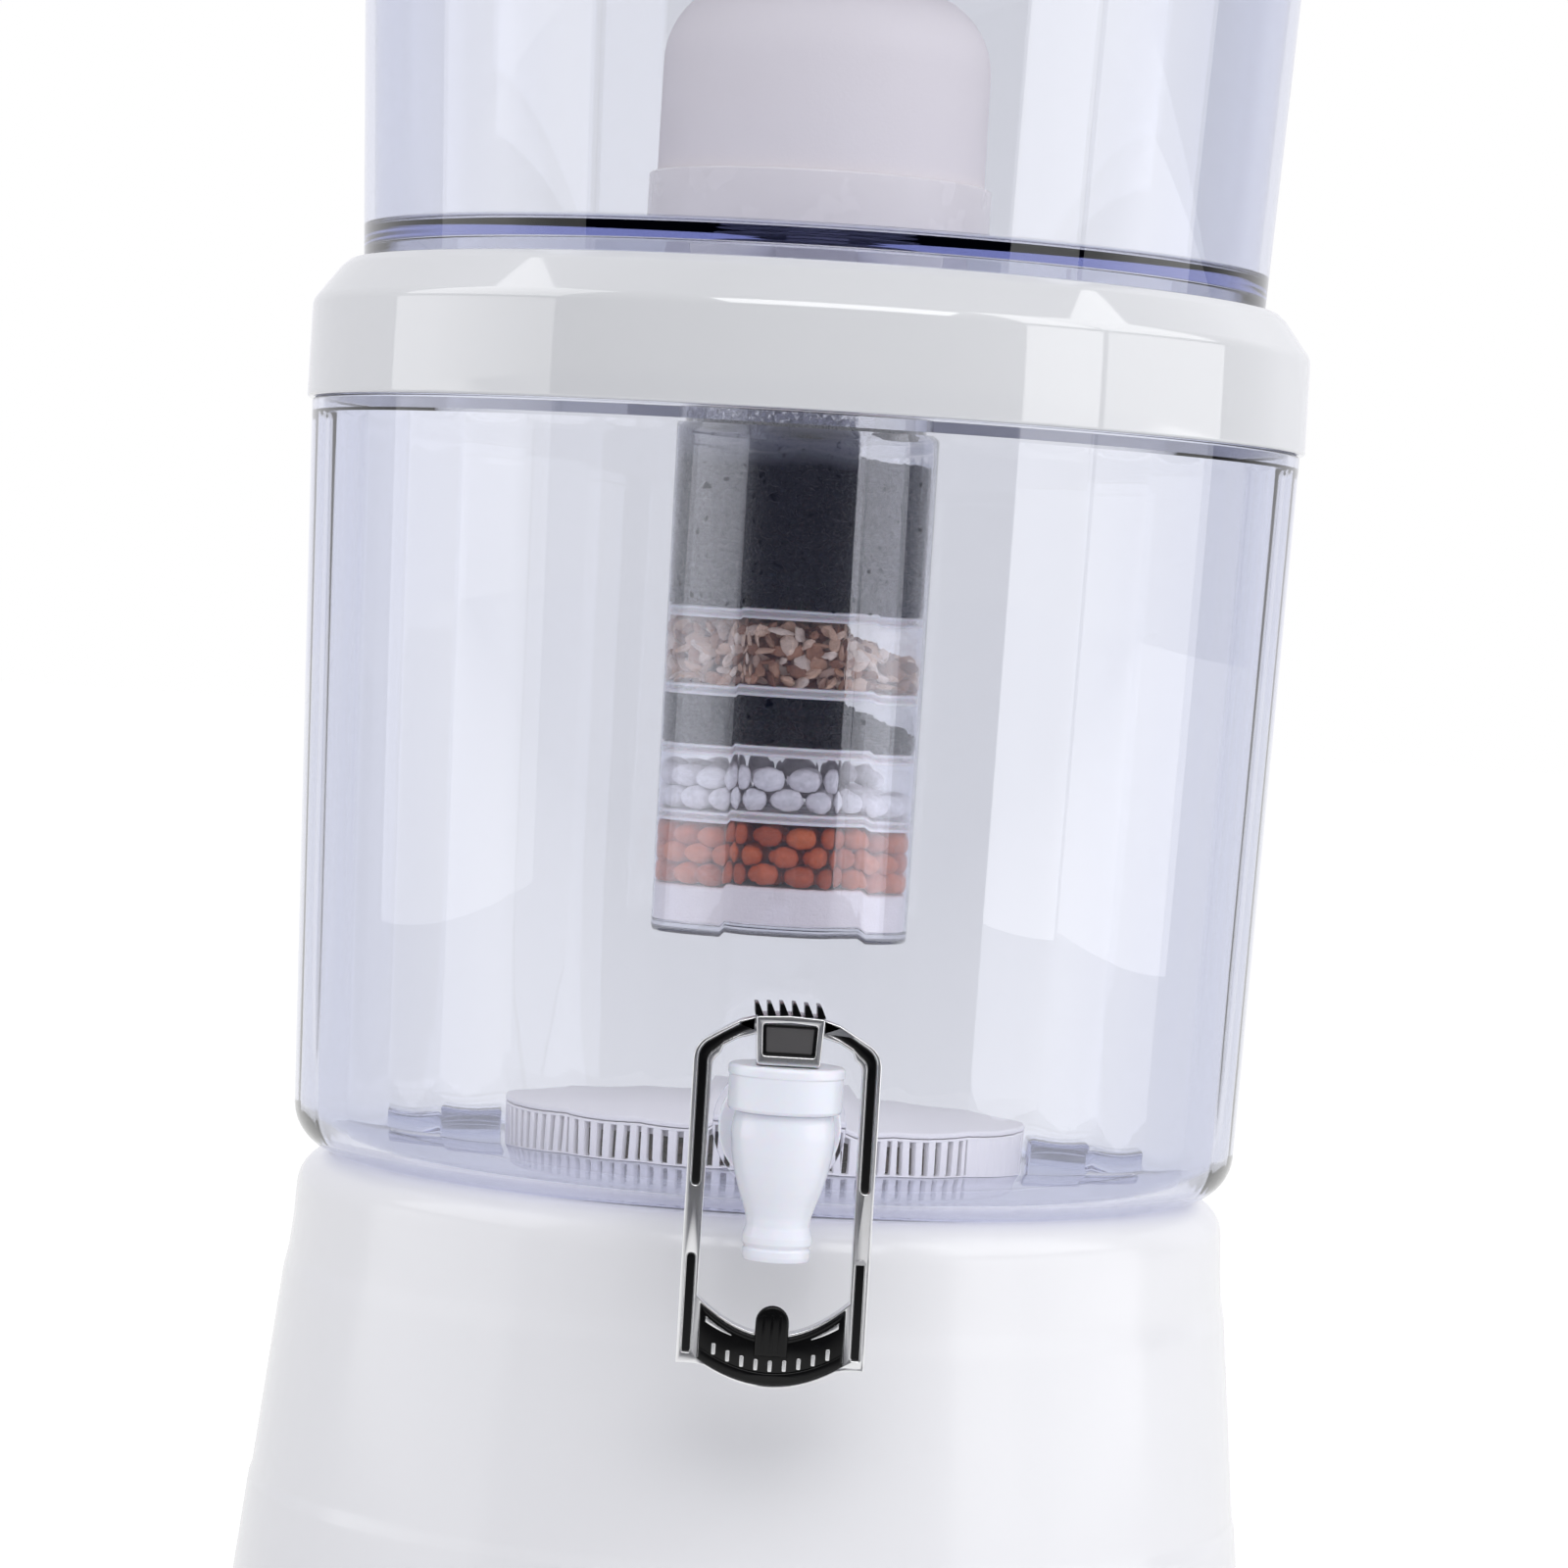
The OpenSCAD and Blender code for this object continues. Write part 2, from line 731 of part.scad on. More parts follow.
// A spool-shaped disc with rings of holes for the water.
module divider(i) {
    hole_rows = [[6, 0.3], [12, 0.6], [18, 0.83]];
    hole_r = 1.5;
    rim = 0.8;
    color("whitesmoke")
        translate([0, 0, divider_z[i]])
            difference() {
                rotate_extrude()
                    polygon([
                        [0, 0],
                        [cart_in - snug, 0],
                        [cart_in - snug, rim],
                        [cart_in - snug - 1, divider_t / 2],
                        [cart_in - snug, divider_t - rim],
                        [cart_in - snug, divider_t],
                        [0, divider_t]
                    ]);
                for (row = hole_rows, k = [0:row[0] - 1])
                    rotate(k * 360 / row[0])
                        translate([cart_in * row[1], 0, -1])
                            cylinder(h = divider_t + 2, r = hole_r, $fn = 16);
            }
}

module divider_1() { divider(0); }
module divider_2() { divider(1); }
module divider_3() { divider(2); }
module divider_4() { divider(3); }

// A layer of loose filling. Beyond x = start its surface falls away at the given angle.
module layer(z, h, fall, start) {
    difference() {
        translate([0, 0, z]) cylinder(h = h, r = media_r);
        if (fall > 0)
            translate([start, -2 * media_r, z + h])
                rotate([0, fall, 0])
                    cube([4 * media_r, 4 * media_r, 2 * h]);
    }
}

module media_red_balls() {
    color("sienna") layer(stack(0), layer_h[0] - ball_settle, 0, 0);
}

module media_white_balls() {
    color("snow") layer(stack(1), layer_h[1] - ball_settle, 0, 0);
}

module media_carbon_lower() {
    color("#1c1e22")
        layer(stack(2), layer_h[2] - grain_settle, carbon_slope[0], carbon_slope[1]);
}

module media_stone_chips() {
    color("tan") layer(stack(3), layer_h[3] - grain_settle, chips_slope[0], chips_slope[1]);
}

module media_carbon_top() {
    color("#15171a") layer(carbon_bottom, carbon_h, 0, 0);
}

// ---------- stone case ----------

// True where the case's wall has a slot: everywhere but two plain stretches.
function slotted(i) =
    let (a = (i * slot_step) % 180) !(a > plain_from && a < plain_to);

module case_basket() {
    color("white")
        translate([0, 0, case_base])
            difference() {
                cylinder(h = case_h, r = case_r);
                translate([0, 0, case_floor_t])
                    cylinder(h = case_h, r = case_r - case_wall);
                for (i = [0:slot_count - 1])
                    if (slotted(i))
                        rotate(-90 + i * slot_step)
                            translate([case_r - case_wall - 1, -slot_w / 2, case_floor_t - slot_dip])
                                cube([case_wall + 2, slot_w, case_h - case_floor_t + slot_dip - slot_margin]);
            }
}

module case_stones() {
    fill = case_h - case_floor_t - case_lid_ring_h - fill_gap;
    color("saddlebrown")
        translate([0, 0, case_base + case_floor_t])
            cylinder(h = fill, r = case_r - case_wall - fill_gap);
}

module case_lid() {
    ring_out = case_r - case_wall - slip;
    color("white")
        translate([0, 0, case_lid_base]) {
            cylinder(h = case_lid_t, r = case_r);
            translate([0, 0, -case_lid_ring_h])
                ring(ring_out, ring_out - case_lid_ring_t, case_lid_ring_h + bite);
        }
}

// ---------- tap ----------

// Puts its children in the tap's own frame: z 0 at the shank, the nozzle's axis at x = y = 0.
module at_tap() {
    translate([0, tap_y, tap_h]) children();
}

// The same frame, for a piece that lies along the shank, from the tank's pad inwards.
module along_shank(y) {
    translate([0, y, tap_h]) rotate([90, 0, 0]) children();
}

// The tap's turned body: radius and height of each point of its section.
function vase_outline() = [
    [outlet_r, -nozzle_drop],
    [8.6, -nozzle_drop],
    [9, -nozzle_drop + 0.5],
    [9, -nozzle_drop + 2.6],
    [8.6, -nozzle_drop + 3.4],
    [9.3, -nozzle_drop + 4.3],
    [9.3, -nozzle_drop + 6.4],
    [8.5, -nozzle_drop + 9],
    [8.6, -20.5],
    [vase_r - 4.2, -17],
    [vase_r - 2.9, -13.5],
    [vase_r - 1.6, -9],
    [vase_r - 0.5, -4],
    [vase_r, 1],
    [vase_r - 0.3, 4.5],
    [vase_r - 0.9, bonnet_low - bonnet_gap],
    [thread_r, bonnet_low - bonnet_gap],
    [thread_r, bonnet_top - bonnet_plate - bonnet_gap],
    [chamber_r, bonnet_top - bonnet_plate - bonnet_gap],
    [chamber_r, seat_high],
    [outlet_r, seat_low]
];

module tap_body() {
    shank_l = tap_reach + (tap_pad_out - tap_pad_in) + shank_in;
    flange_out = tap_reach - tap_gasket_t - flange_t;
    color("white")
        difference() {
            union() {
                at_tap() rotate_extrude() polygon(vase_outline());
                along_shank(tap_y + shank_l)
                    cylinder(h = shank_l - flange_out - bite, r = shank_r);
                along_shank(tap_y + tap_reach - tap_gasket_t)
                    cylinder(h = flange_t, r = flange_d / 2);
                along_shank(tap_y + flange_out + bite)
                    cylinder(h = flange_out + bite - chamber_r - 1, r = barrel_r);
            }
            along_shank(tap_y + shank_l + 1)
                cylinder(h = shank_l + 1 - chamber_r / 2, r = inlet_r);
            at_tap() translate([0, 0, seat_high])
                cylinder(h = bonnet_top - seat_high, r = chamber_r);
        }
}

module tap_bonnet() {
    r = bonnet_d / 2;
    color("white")
        at_tap()
            rotate_extrude()
                polygon([
                    [thread_r + snug, bonnet_low],
                    [r - 1, bonnet_low],
                    [r - 0.4, bonnet_low + 0.8],
                    [r - 0.4, bonnet_top - 3],
                    [r, bonnet_top - 2.6],
                    [r, bonnet_top - 0.6],
                    [r - 0.8, bonnet_top],
                    [rod_d / 2 + running, bonnet_top],
                    [rod_d / 2 + running, bonnet_top - bonnet_plate],
                    [thread_r + snug, bonnet_top - bonnet_plate]
                ]);
}

module tap_gasket_outer() {
    color("gainsboro")
        along_shank(tap_y + tap_reach)
            ring(flange_d / 2 - 1.5, shank_r + snug, tap_gasket_t);
}

module tap_gasket_inner() {
    color("gainsboro")
        along_shank(-tap_pad_in + tap_gasket_t)
            ring(tap_nut_r - 0.8, shank_r + snug, tap_gasket_t);
}

module tap_nut() {
    nut_t = 7;
    color("white")
        along_shank(-tap_pad_in + tap_gasket_t + nut_t)
            difference() {
                cylinder(h = nut_t, r = tap_nut_r, $fn = 6);
                translate([0, 0, -1]) cylinder(h = nut_t + 2, r = shank_r + snug, $fn = 96);
            }
}

module tap_rod() {
    color("white")
        at_tap()
            difference() {
                union() {
                    translate([0, 0, seat_high - 1]) cylinder(h = rod_top - seat_high + 1, d = rod_d);
                    translate([0, 0, seat_high + seal_h - 1]) cylinder(h = rod_stop_t, r = spring_r + 1.2);
                }
                translate([-rod_d, 0, pin_h]) rotate([0, 90, 0])
                    cylinder(h = 2 * rod_d, d = pin_d);
            }
}

// The rubber plug that closes the outlet. It stands a hair clear of its cone.
module tap_seal() {
    slope = (chamber_r - outlet_r) / (seat_high - seat_low);
    low = seat_low + 1.5;
    rod_r = rod_d / 2;
    top = seat_high + seal_h - 1;
    color("dimgray")
        at_tap()
            rotate_extrude()
                polygon([
                    [0, low],
                    [outlet_r + slope * (low - seat_low) - seal_gap, low],
                    [chamber_r - seal_gap - 0.1, seat_high],
                    [chamber_r - seal_gap - edge, seat_high + 1.5],
                    [spring_r + 1, top],
                    [rod_r + running, top],
                    [rod_r + running, seat_high - 1],
                    [0, seat_high - 1]
                ]);
}

// Points of one turn of the wire's outline at step k of the helix.
function wire_ring(k, steps, low, high, sides) =
    let (a = k * 360 * spring_turns / steps, z = mix(low, high, k / steps))
        [for (s = [0:sides - 1])
            let (b = s * 360 / sides, r = spring_r + wire_r * cos(b))
                [r * cos(a), r * sin(a), z + wire_r * sin(b)]];

module tap_spring() {
    sides = 8;
    steps = 20 * spring_turns;
    low = seat_high + seal_h - 1 + rod_stop_t + wire_r + running;
    high = bonnet_top - bonnet_plate - wire_r - running;
    points = [for (k = [0:steps]) each wire_ring(k, steps, low, high, sides)];
    walls = [
        for (k = [0:steps - 1], s = [0:sides - 1])
            let (t = (s + 1) % sides)
                each [
                    [k * sides + s, (k + 1) * sides + s, (k + 1) * sides + t],
                    [k * sides + s, (k + 1) * sides + t, k * sides + t]
                ]
    ];
    start = [for (s = [0:sides - 1]) s];
    end = [for (s = [sides - 1:-1:0]) steps * sides + s];
    color("silver") at_tap() polyhedron(points, concat(walls, [start, end]));
}

module tap_pin() {
    color("silver")
        at_tap()
            translate([-block_w / 2 + 1, 0, pin_h]) rotate([0, 90, 0])
                cylinder(h = block_w - 2, d = pin_d - 2 * running);
}

// ---------- lever ----------

// Draws a flat shape in the lever's own X-Z plane and gives it a depth about the tap's axis.
module upright(depth, front = 0) {
    at_tap()
        translate([0, front + depth / 2, 0]) rotate([90, 0, 0])
            linear_extrude(height = depth) children();
}

// One side of the arch and leg as a band between two distances from its middle line.
function bow(x_block, z_block, drop, x_leg, corner) =
    let (z_turn = z_block - drop)
        concat(
            [[x_block, z_block], [arch_x - 1, z_turn + 1.6]],
            arc([x_leg - corner, z_turn - corner], corner, 60, 0, 6)
        );

function frame_side() =
    concat(
        bow(block_w / 2 - 1, arch_top, arch_drop, leg_out, arch_out_r),
        [[leg_out, leg_bottom], [leg_in, leg_bottom]],
        reversed(bow(block_w / 2 - 1, arch_top - arch_t, arch_drop, leg_in, arch_in_r))
    );
function reversed(list) = [for (i = [len(list) - 1:-1:0]) list[i]];

module block_outline() {
    top = block_w / 2;
    low = top - 0.7;
    polygon([[-low, block_low], [low, block_low], [top, block_top], [-top, block_top]]);
}

// How far the foot's lower edge hangs below the legs at x.
function sag(x) = tray_low * (1 - pow(x / leg_in, 2));

// The crescent at the lever's foot, between the legs.
module crescent(inset) {
    half = leg_in + 0.5 - inset;
    n = 14;
    upper = [for (i = [0:n]) let (x = mix(-half, half, i / n))
        [x, tray_top - inset - tray_dip * (1 - pow(x / leg_in, 2))]];
    lower = [for (i = [0:n]) let (x = mix(half, -half, i / n))
        [x, leg_bottom + inset - sag(x) + 1]];
    polygon(concat(upper, lower));
}

module inlay_shape(grow) {
    w = inlay_w / 2 + grow;
    mid = (leg_out + leg_in) / 2;
    z_arch = arch_top - arch_t / 2;
    x_block = block_w / 2 + 0.8 - grow;
    low_part = [[mid - w, inlay_low_end - grow], [mid + w, inlay_low_end - grow],
        [mid + w, inlay_low_top + grow], [mid - w, inlay_low_top + grow]];
    high_part = concat(
        bow(x_block, z_arch + w, arch_drop, mid + w, arch_out_r - 1.6),
        [[mid + w, inlay_end - grow], [mid - w, inlay_end - grow]],
        reversed(bow(x_block, z_arch - w, arch_drop, mid - w, arch_in_r + 0.2))
    );
    for (m = [0, 1]) mirror([m, 0]) {
        polygon(low_part);
        polygon(high_part);
    }
}

module lever_frame() {
    front = -leg_depth / 2;
    color("silver")
        difference() {
            union() {
                upright(leg_depth) {
                    polygon(frame_side());
                    mirror([1, 0]) polygon(frame_side());
                    crescent(0);
                }
                upright(block_depth) block_outline();
            }
            upright(2 * inlay_depth, front) inlay_shape(snug);
            upright(2 * pocket_depth, front) crescent(tray_rim);
            at_tap() translate([0, -block_depth / 2, block_low + block_h / 2])
                cube([badge_w + 2 * snug, 2 * badge_sunk, badge_h + 2 * snug], center = true);
            at_tap() translate([-rod_d / 2 - slip, -rod_slot / 2, block_low - 1])
                cube([rod_d + 2 * slip, rod_slot, rod_top - block_low + 2]);
            at_tap() translate([-block_w, 0, pin_h]) rotate([0, 90, 0])
                cylinder(h = 2 * block_w, d = pin_d);
        }
}

module lever_inlays() {
    color("#141414") upright(inlay_depth, -leg_depth / 2 + inlay_depth / 2) inlay_shape(0);
}

module lever_badge() {
    color("dimgray")
        at_tap() translate([0, -block_depth / 2 + badge_sunk - badge_t / 2, block_low + block_h / 2])
            cube([badge_w, badge_t, badge_h], center = true);
}

module thumb_grip() {
    pitch = (block_w - grip_w) / (grip_count - 1);
    color("#141414")
        at_tap()
            for (i = [0:grip_count - 1])
                translate([-block_w / 2 + grip_w / 2 + i * pitch, 0, block_top])
                    rotate([90, 0, 0])
                        linear_extrude(height = block_depth - 4, center = true)
                            polygon([
                                [-grip_w / 2, 0],
                                [grip_w / 2, 0],
                                [grip_w / 2 - grip_h * tan(grip_lean), grip_h],
                                [-grip_h * tan(grip_lean) - 0.1, grip_h]
                            ]);
}

module lever_pad() {
    knob_z = tray_top - pad_knob_drop - pad_knob_w / 2;
    pad_depth = pocket_depth + pad_proud;
    face = -leg_depth / 2 - pad_proud;
    color("#141414") {
        upright(pad_depth, face + pad_depth / 2) crescent(tray_rim + snug);
        upright(pad_knob_proud + bite, face + (bite - pad_knob_proud) / 2) {
            translate([0, knob_z]) circle(d = pad_knob_w);
            translate([-pad_knob_w / 2, knob_z - pad_stem_l]) square([pad_knob_w, pad_stem_l]);
        }
    }
}

// Plain raised bars across the foot of the pad.
module pad_ribs() {
    color("silver")
        for (i = [0:pad_rib_count - 1])
            let (x = mix(-pad_rib_span, pad_rib_span, i / (pad_rib_count - 1)))
                upright(pad_rib_t, -leg_depth / 2 - pad_proud - pad_rib_t / 2)
                    translate([x - pad_rib_w / 2, leg_bottom - sag(x) + pad_rib_low])
                        square([pad_rib_w, pad_rib_h]);
}

stand();
lower_tank();
collar();
upper_tank();
lid();
lid_knob();
lid_screw();
dome_ceramic();
dome_base();
dome_gasket();
dome_nut();
cartridge_cap();
cartridge_gasket();
cartridge_body();
cartridge_pad();
divider_1();
divider_2();
divider_3();
divider_4();
media_red_balls();
media_white_balls();
media_carbon_lower();
media_stone_chips();
media_carbon_top();
case_basket();
case_stones();
case_lid();
tap_body();
tap_bonnet();
tap_gasket_outer();
tap_gasket_inner();
tap_nut();
tap_rod();
tap_seal();
tap_spring();
tap_pin();
lever_frame();
lever_inlays();
lever_badge();
thumb_grip();
lever_pad();
pad_ribs();
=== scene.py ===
"""Looks of the gravity water filter: clear polystyrene tanks, white ABS mouldings,
a ceramic dome, a cartridge of granules and a chromed push-lever tap."""

import math
import random

import bmesh
import bpy
import numpy as np
from mathutils import Matrix, Vector, noise


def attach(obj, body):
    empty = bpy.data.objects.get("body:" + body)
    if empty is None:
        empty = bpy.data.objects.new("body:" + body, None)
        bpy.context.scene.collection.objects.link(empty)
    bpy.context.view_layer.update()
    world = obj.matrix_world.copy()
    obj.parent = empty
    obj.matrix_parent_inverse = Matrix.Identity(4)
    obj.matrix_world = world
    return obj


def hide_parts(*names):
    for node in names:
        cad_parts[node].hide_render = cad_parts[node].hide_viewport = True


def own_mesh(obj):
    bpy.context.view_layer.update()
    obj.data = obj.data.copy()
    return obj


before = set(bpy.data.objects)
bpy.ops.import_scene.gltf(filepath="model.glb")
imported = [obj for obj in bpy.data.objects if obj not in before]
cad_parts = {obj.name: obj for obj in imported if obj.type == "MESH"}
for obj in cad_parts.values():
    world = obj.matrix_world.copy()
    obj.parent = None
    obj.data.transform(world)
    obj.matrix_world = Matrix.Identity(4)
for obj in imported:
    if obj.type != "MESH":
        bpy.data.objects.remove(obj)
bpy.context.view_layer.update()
SCENE = bpy.context.scene
MM = 0.001

# ---- sizes shared with the CAD, in millimetres and degrees ----

STAND_H = 125.0
TANK_BASE = 125.3
TANK_H = 218.4
TANK_TOP_R = 145.3
TANK_BOTTOM_R = 138.2
TANK_CORNER = 14.0
TANK_WALL = 4.0
TANK_RECESS = 1.4
TANK_FLOOR = 3.8
TANK_IN_CORNER = 11.0
NECK_R = 143.9
NECK_TOP = 246.9
FLUTES = 40
FLUTE_FRONT = 11.2
FLUTE_STEP = (360 - FLUTE_FRONT) / (FLUTES - 1)
FLUTE_TURN = -1.3
FLUTE_TOP = 213.9
COLLAR_BASE = 344.0
UPPER_BASE = 374.3
UPPER_FLOOR = 394.0
LID_BASE = 571.3
LID_CROWN = 24.0
CART_BOTTOM = 195.5
CART_TOP = 375.8
CART_R = 37.7
CART_IN = 35.7
CART_FLOOR = 3.0
MEDIA_R = 35.3
CASE_BASE = 129.4
CASE_R = 75.0
CASE_IN = 73.0
CASE_H = 14.4
SLOT_PITCH = 4.3
SLOT_W = 1.9
TAP_Y = -173.742
TAP_Z = 151.3

# ---- fine form that the CAD leaves out ----

# depth of the stand's soft bands, and how far each lies below the top, with its height
BAND_DEPTH = 0.6
BANDS = ((94.2, 4.4), (32.2, 7.5))
# how far a flute bows out from flat towards round: high up, and in the bottom corner
FLUTE_BOW, FLUTE_BOW_LOW = 0.25, 0.85
# height at which the flutes start to fade, half width of a ridge and height of the scallops
FLUTE_FADE, RIDGE, SCALLOP = 75.0, 0.25, 3.0


def tank_r(z):
    """Outer radius of the lower tank at a height above its foot."""
    share = (z - TANK_CORNER) / (TANK_H - TANK_CORNER)
    return TANK_BOTTOM_R + (TANK_TOP_R - TANK_BOTTOM_R) * share


def eased(share):
    """A share, kept from 0 to 1, that starts and ends gently."""
    share = min(max(share, 0), 1)
    return share * share * (3 - 2 * share)


# ---- materials ----


def linear(hex_colour):
    """An sRGB hex colour as the linear values that a socket takes."""
    parts = [int(hex_colour[i : i + 2], 16) / 255 for i in (1, 3, 5)]
    return [c / 12.92 if c <= 0.04045 else ((c + 0.055) / 1.055) ** 2.4 for c in parts] + [1.0]


def add(tree, kind, settings=None, **links):
    """Adds a node. A setting is a property or a socket's value. A link joins an input, with _ for
    a space in its name, to an output socket or to a node's first output."""
    node = tree.nodes.new("ShaderNode" + kind)
    for name, value in (settings or {}).items():
        if isinstance(name, str) and hasattr(node, name):
            setattr(node, name, value)
        else:
            node.inputs[name].default_value = value
    for name, source in links.items():
        key = int(name[1:]) if name[0] == "_" else name.replace("_", " ")
        tree.links.new(node.inputs[key], getattr(source, "outputs", [source])[0])
    return node


def span(low, high, first=0.0, last=1.0):
    """Settings that map low..high to first..last."""
    return {"From Min": low, "From Max": high, "To Min": first, "To Max": last}


def new_material(name):
    """An empty node material and its tree."""
    material = bpy.data.materials.new(name)
    material.use_nodes = True
    material.node_tree.nodes.clear()
    return material, material.node_tree


def place_noise(tree, size_mm, detail=2.0, rough=0.5):
    """Noise fixed to the object, with features of about size_mm."""
    where = add(tree, "TexCoord").outputs["Object"]
    settings = {"Scale": 1000 / size_mm, "Detail": detail, "Roughness": rough}
    return add(tree, "TexNoise", settings, Vector=where)


def solid(name, dark, light, settings, patch_mm, grain_mm, grain_height, rough=None):
    """An opaque finish: two tones in patches of patch_mm, and a grain of grain_mm that stands
    grain_height mm high. rough is the roughness's range."""
    material, tree = new_material(name)
    patches = place_noise(tree, patch_mm, 3.0)
    tone = add(tree, "Mix", {"data_type": "RGBA", 6: linear(dark), 7: linear(light)}, _0=patches)
    grain = place_noise(tree, grain_mm, 2.0, 0.6)
    bump = add(tree, "Bump", {"Distance": grain_height * MM}, Height=grain)
    shader = add(tree, "BsdfPrincipled", settings, Base_Color=tone.outputs[2], Normal=bump)
    if rough:
        wear = place_noise(tree, patch_mm / 3, 4.0)
        wear = add(tree, "MapRange", span(0.3, 0.7, *rough), Value=wear)
        tree.links.new(shader.inputs["Roughness"], wear.outputs[0])
    add(tree, "OutputMaterial", Surface=shader)
    return material


def clear_finish(name, tint, rim, shade, density, ripple_mm, ripple_height, settings):
    """Clear plastic: light takes its shade, the more the longer its way, and the rim's colour
    where a wall is seen edge on. Lamps shine through it without caustics."""
    material, tree = new_material(name)
    ripple = place_noise(tree, ripple_mm, 1.0, 0.4)
    bump = add(tree, "Bump", {"Distance": ripple_height * MM}, Height=ripple)
    slant = add(tree, "LayerWeight", {"Blend": 0.5}).outputs["Facing"]
    grazing = add(tree, "MapRange", span(0.2, 1.0), Value=slant)
    colour = add(tree, "Mix", {"data_type": "RGBA", 6: linear(tint), 7: linear(rim)}, _0=grazing)
    polished = {"Roughness": 0.0, "Transmission Weight": 1.0, **settings}
    glass = add(tree, "BsdfPrincipled", polished, Base_Color=colour.outputs[2], Normal=bump)
    clear = add(tree, "BsdfTransparent", {"Color": linear("#FDFDFF")})
    path = add(tree, "LightPath").outputs
    bounced = add(tree, "MixShader", _0=path["Is Diffuse Ray"], _1=glass, _2=clear)
    both = add(tree, "MixShader", _0=path["Is Shadow Ray"], _1=bounced, _2=clear)
    absorb = add(tree, "VolumeAbsorption", {"Color": linear(shade), "Density": density})
    add(tree, "OutputMaterial", Surface=both, Volume=absorb)
    return material


def grain_finish(name, grain_tones, settings, speck_mm, speck_height):
    """Loose grains, each with its own tone of the mesh's, and fine specks on top."""
    material, tree = new_material(name)
    own = add(tree, "Attribute", {"attribute_name": "tone"}).outputs["Fac"]
    ramp = add(tree, "ValToRGB", Fac=own)
    stops = ramp.color_ramp.elements
    for i, tone in enumerate(grain_tones):
        stop = stops[i] if i < 2 else stops.new(1.0)
        stop.color = linear(tone)
    for i in range(len(grain_tones)):
        stops[i].position = i / (len(grain_tones) - 1)
    specks = place_noise(tree, speck_mm, 4.0, 0.65)
    shade = add(tree, "MapRange", span(0.25, 0.75, 0.72, 1.18), Value=specks)
    colour = add(tree, "VectorMath", {"operation": "SCALE"}, _0=ramp, Scale=shade)
    bump = add(tree, "Bump", {"Distance": speck_height * MM}, Height=specks)
    shader = add(tree, "BsdfPrincipled", settings, Base_Color=colour, Normal=bump)
    add(tree, "OutputMaterial", Surface=shader)
    return material


def dust_finish(name, foot, top, low, high, speck_mm):
    """Fine dust on a clear wall between two heights, which thins out upwards and to the right."""
    material, tree = new_material(name)
    place = add(tree, "SeparateXYZ", Vector=add(tree, "TexCoord").outputs["Object"]).outputs
    rise = add(tree, "MapRange", span(low * MM, high * MM, 0.24, -0.16), Value=place["Z"])
    bare = add(tree, "MapRange", span(0.012, 0.02, 0.0, -0.5), Value=place["X"])
    amount = add(tree, "Math", {"operation": "ADD"}, _0=rise, _1=bare)
    specks = place_noise(tree, speck_mm, 5.0, 0.75)
    amount = add(tree, "Math", {"operation": "ADD"}, _0=amount, _1=specks)
    cover = add(tree, "MapRange", span(0.44, 0.62), Value=amount)
    middle = (low + high) / 2
    height = add(tree, "MapRange", span(low * MM, middle * MM), Value=place["Z"])
    tone = add(tree, "Mix", {"data_type": "RGBA", 6: linear(foot), 7: linear(top)}, _0=height)
    dust = add(tree, "BsdfDiffuse", Color=tone.outputs[2])
    clear = add(tree, "BsdfTransparent", {"Color": linear("#FFFFFF")})
    both = add(tree, "MixShader", _0=cover, _1=clear, _2=dust)
    add(tree, "OutputMaterial", Surface=both)
    return material


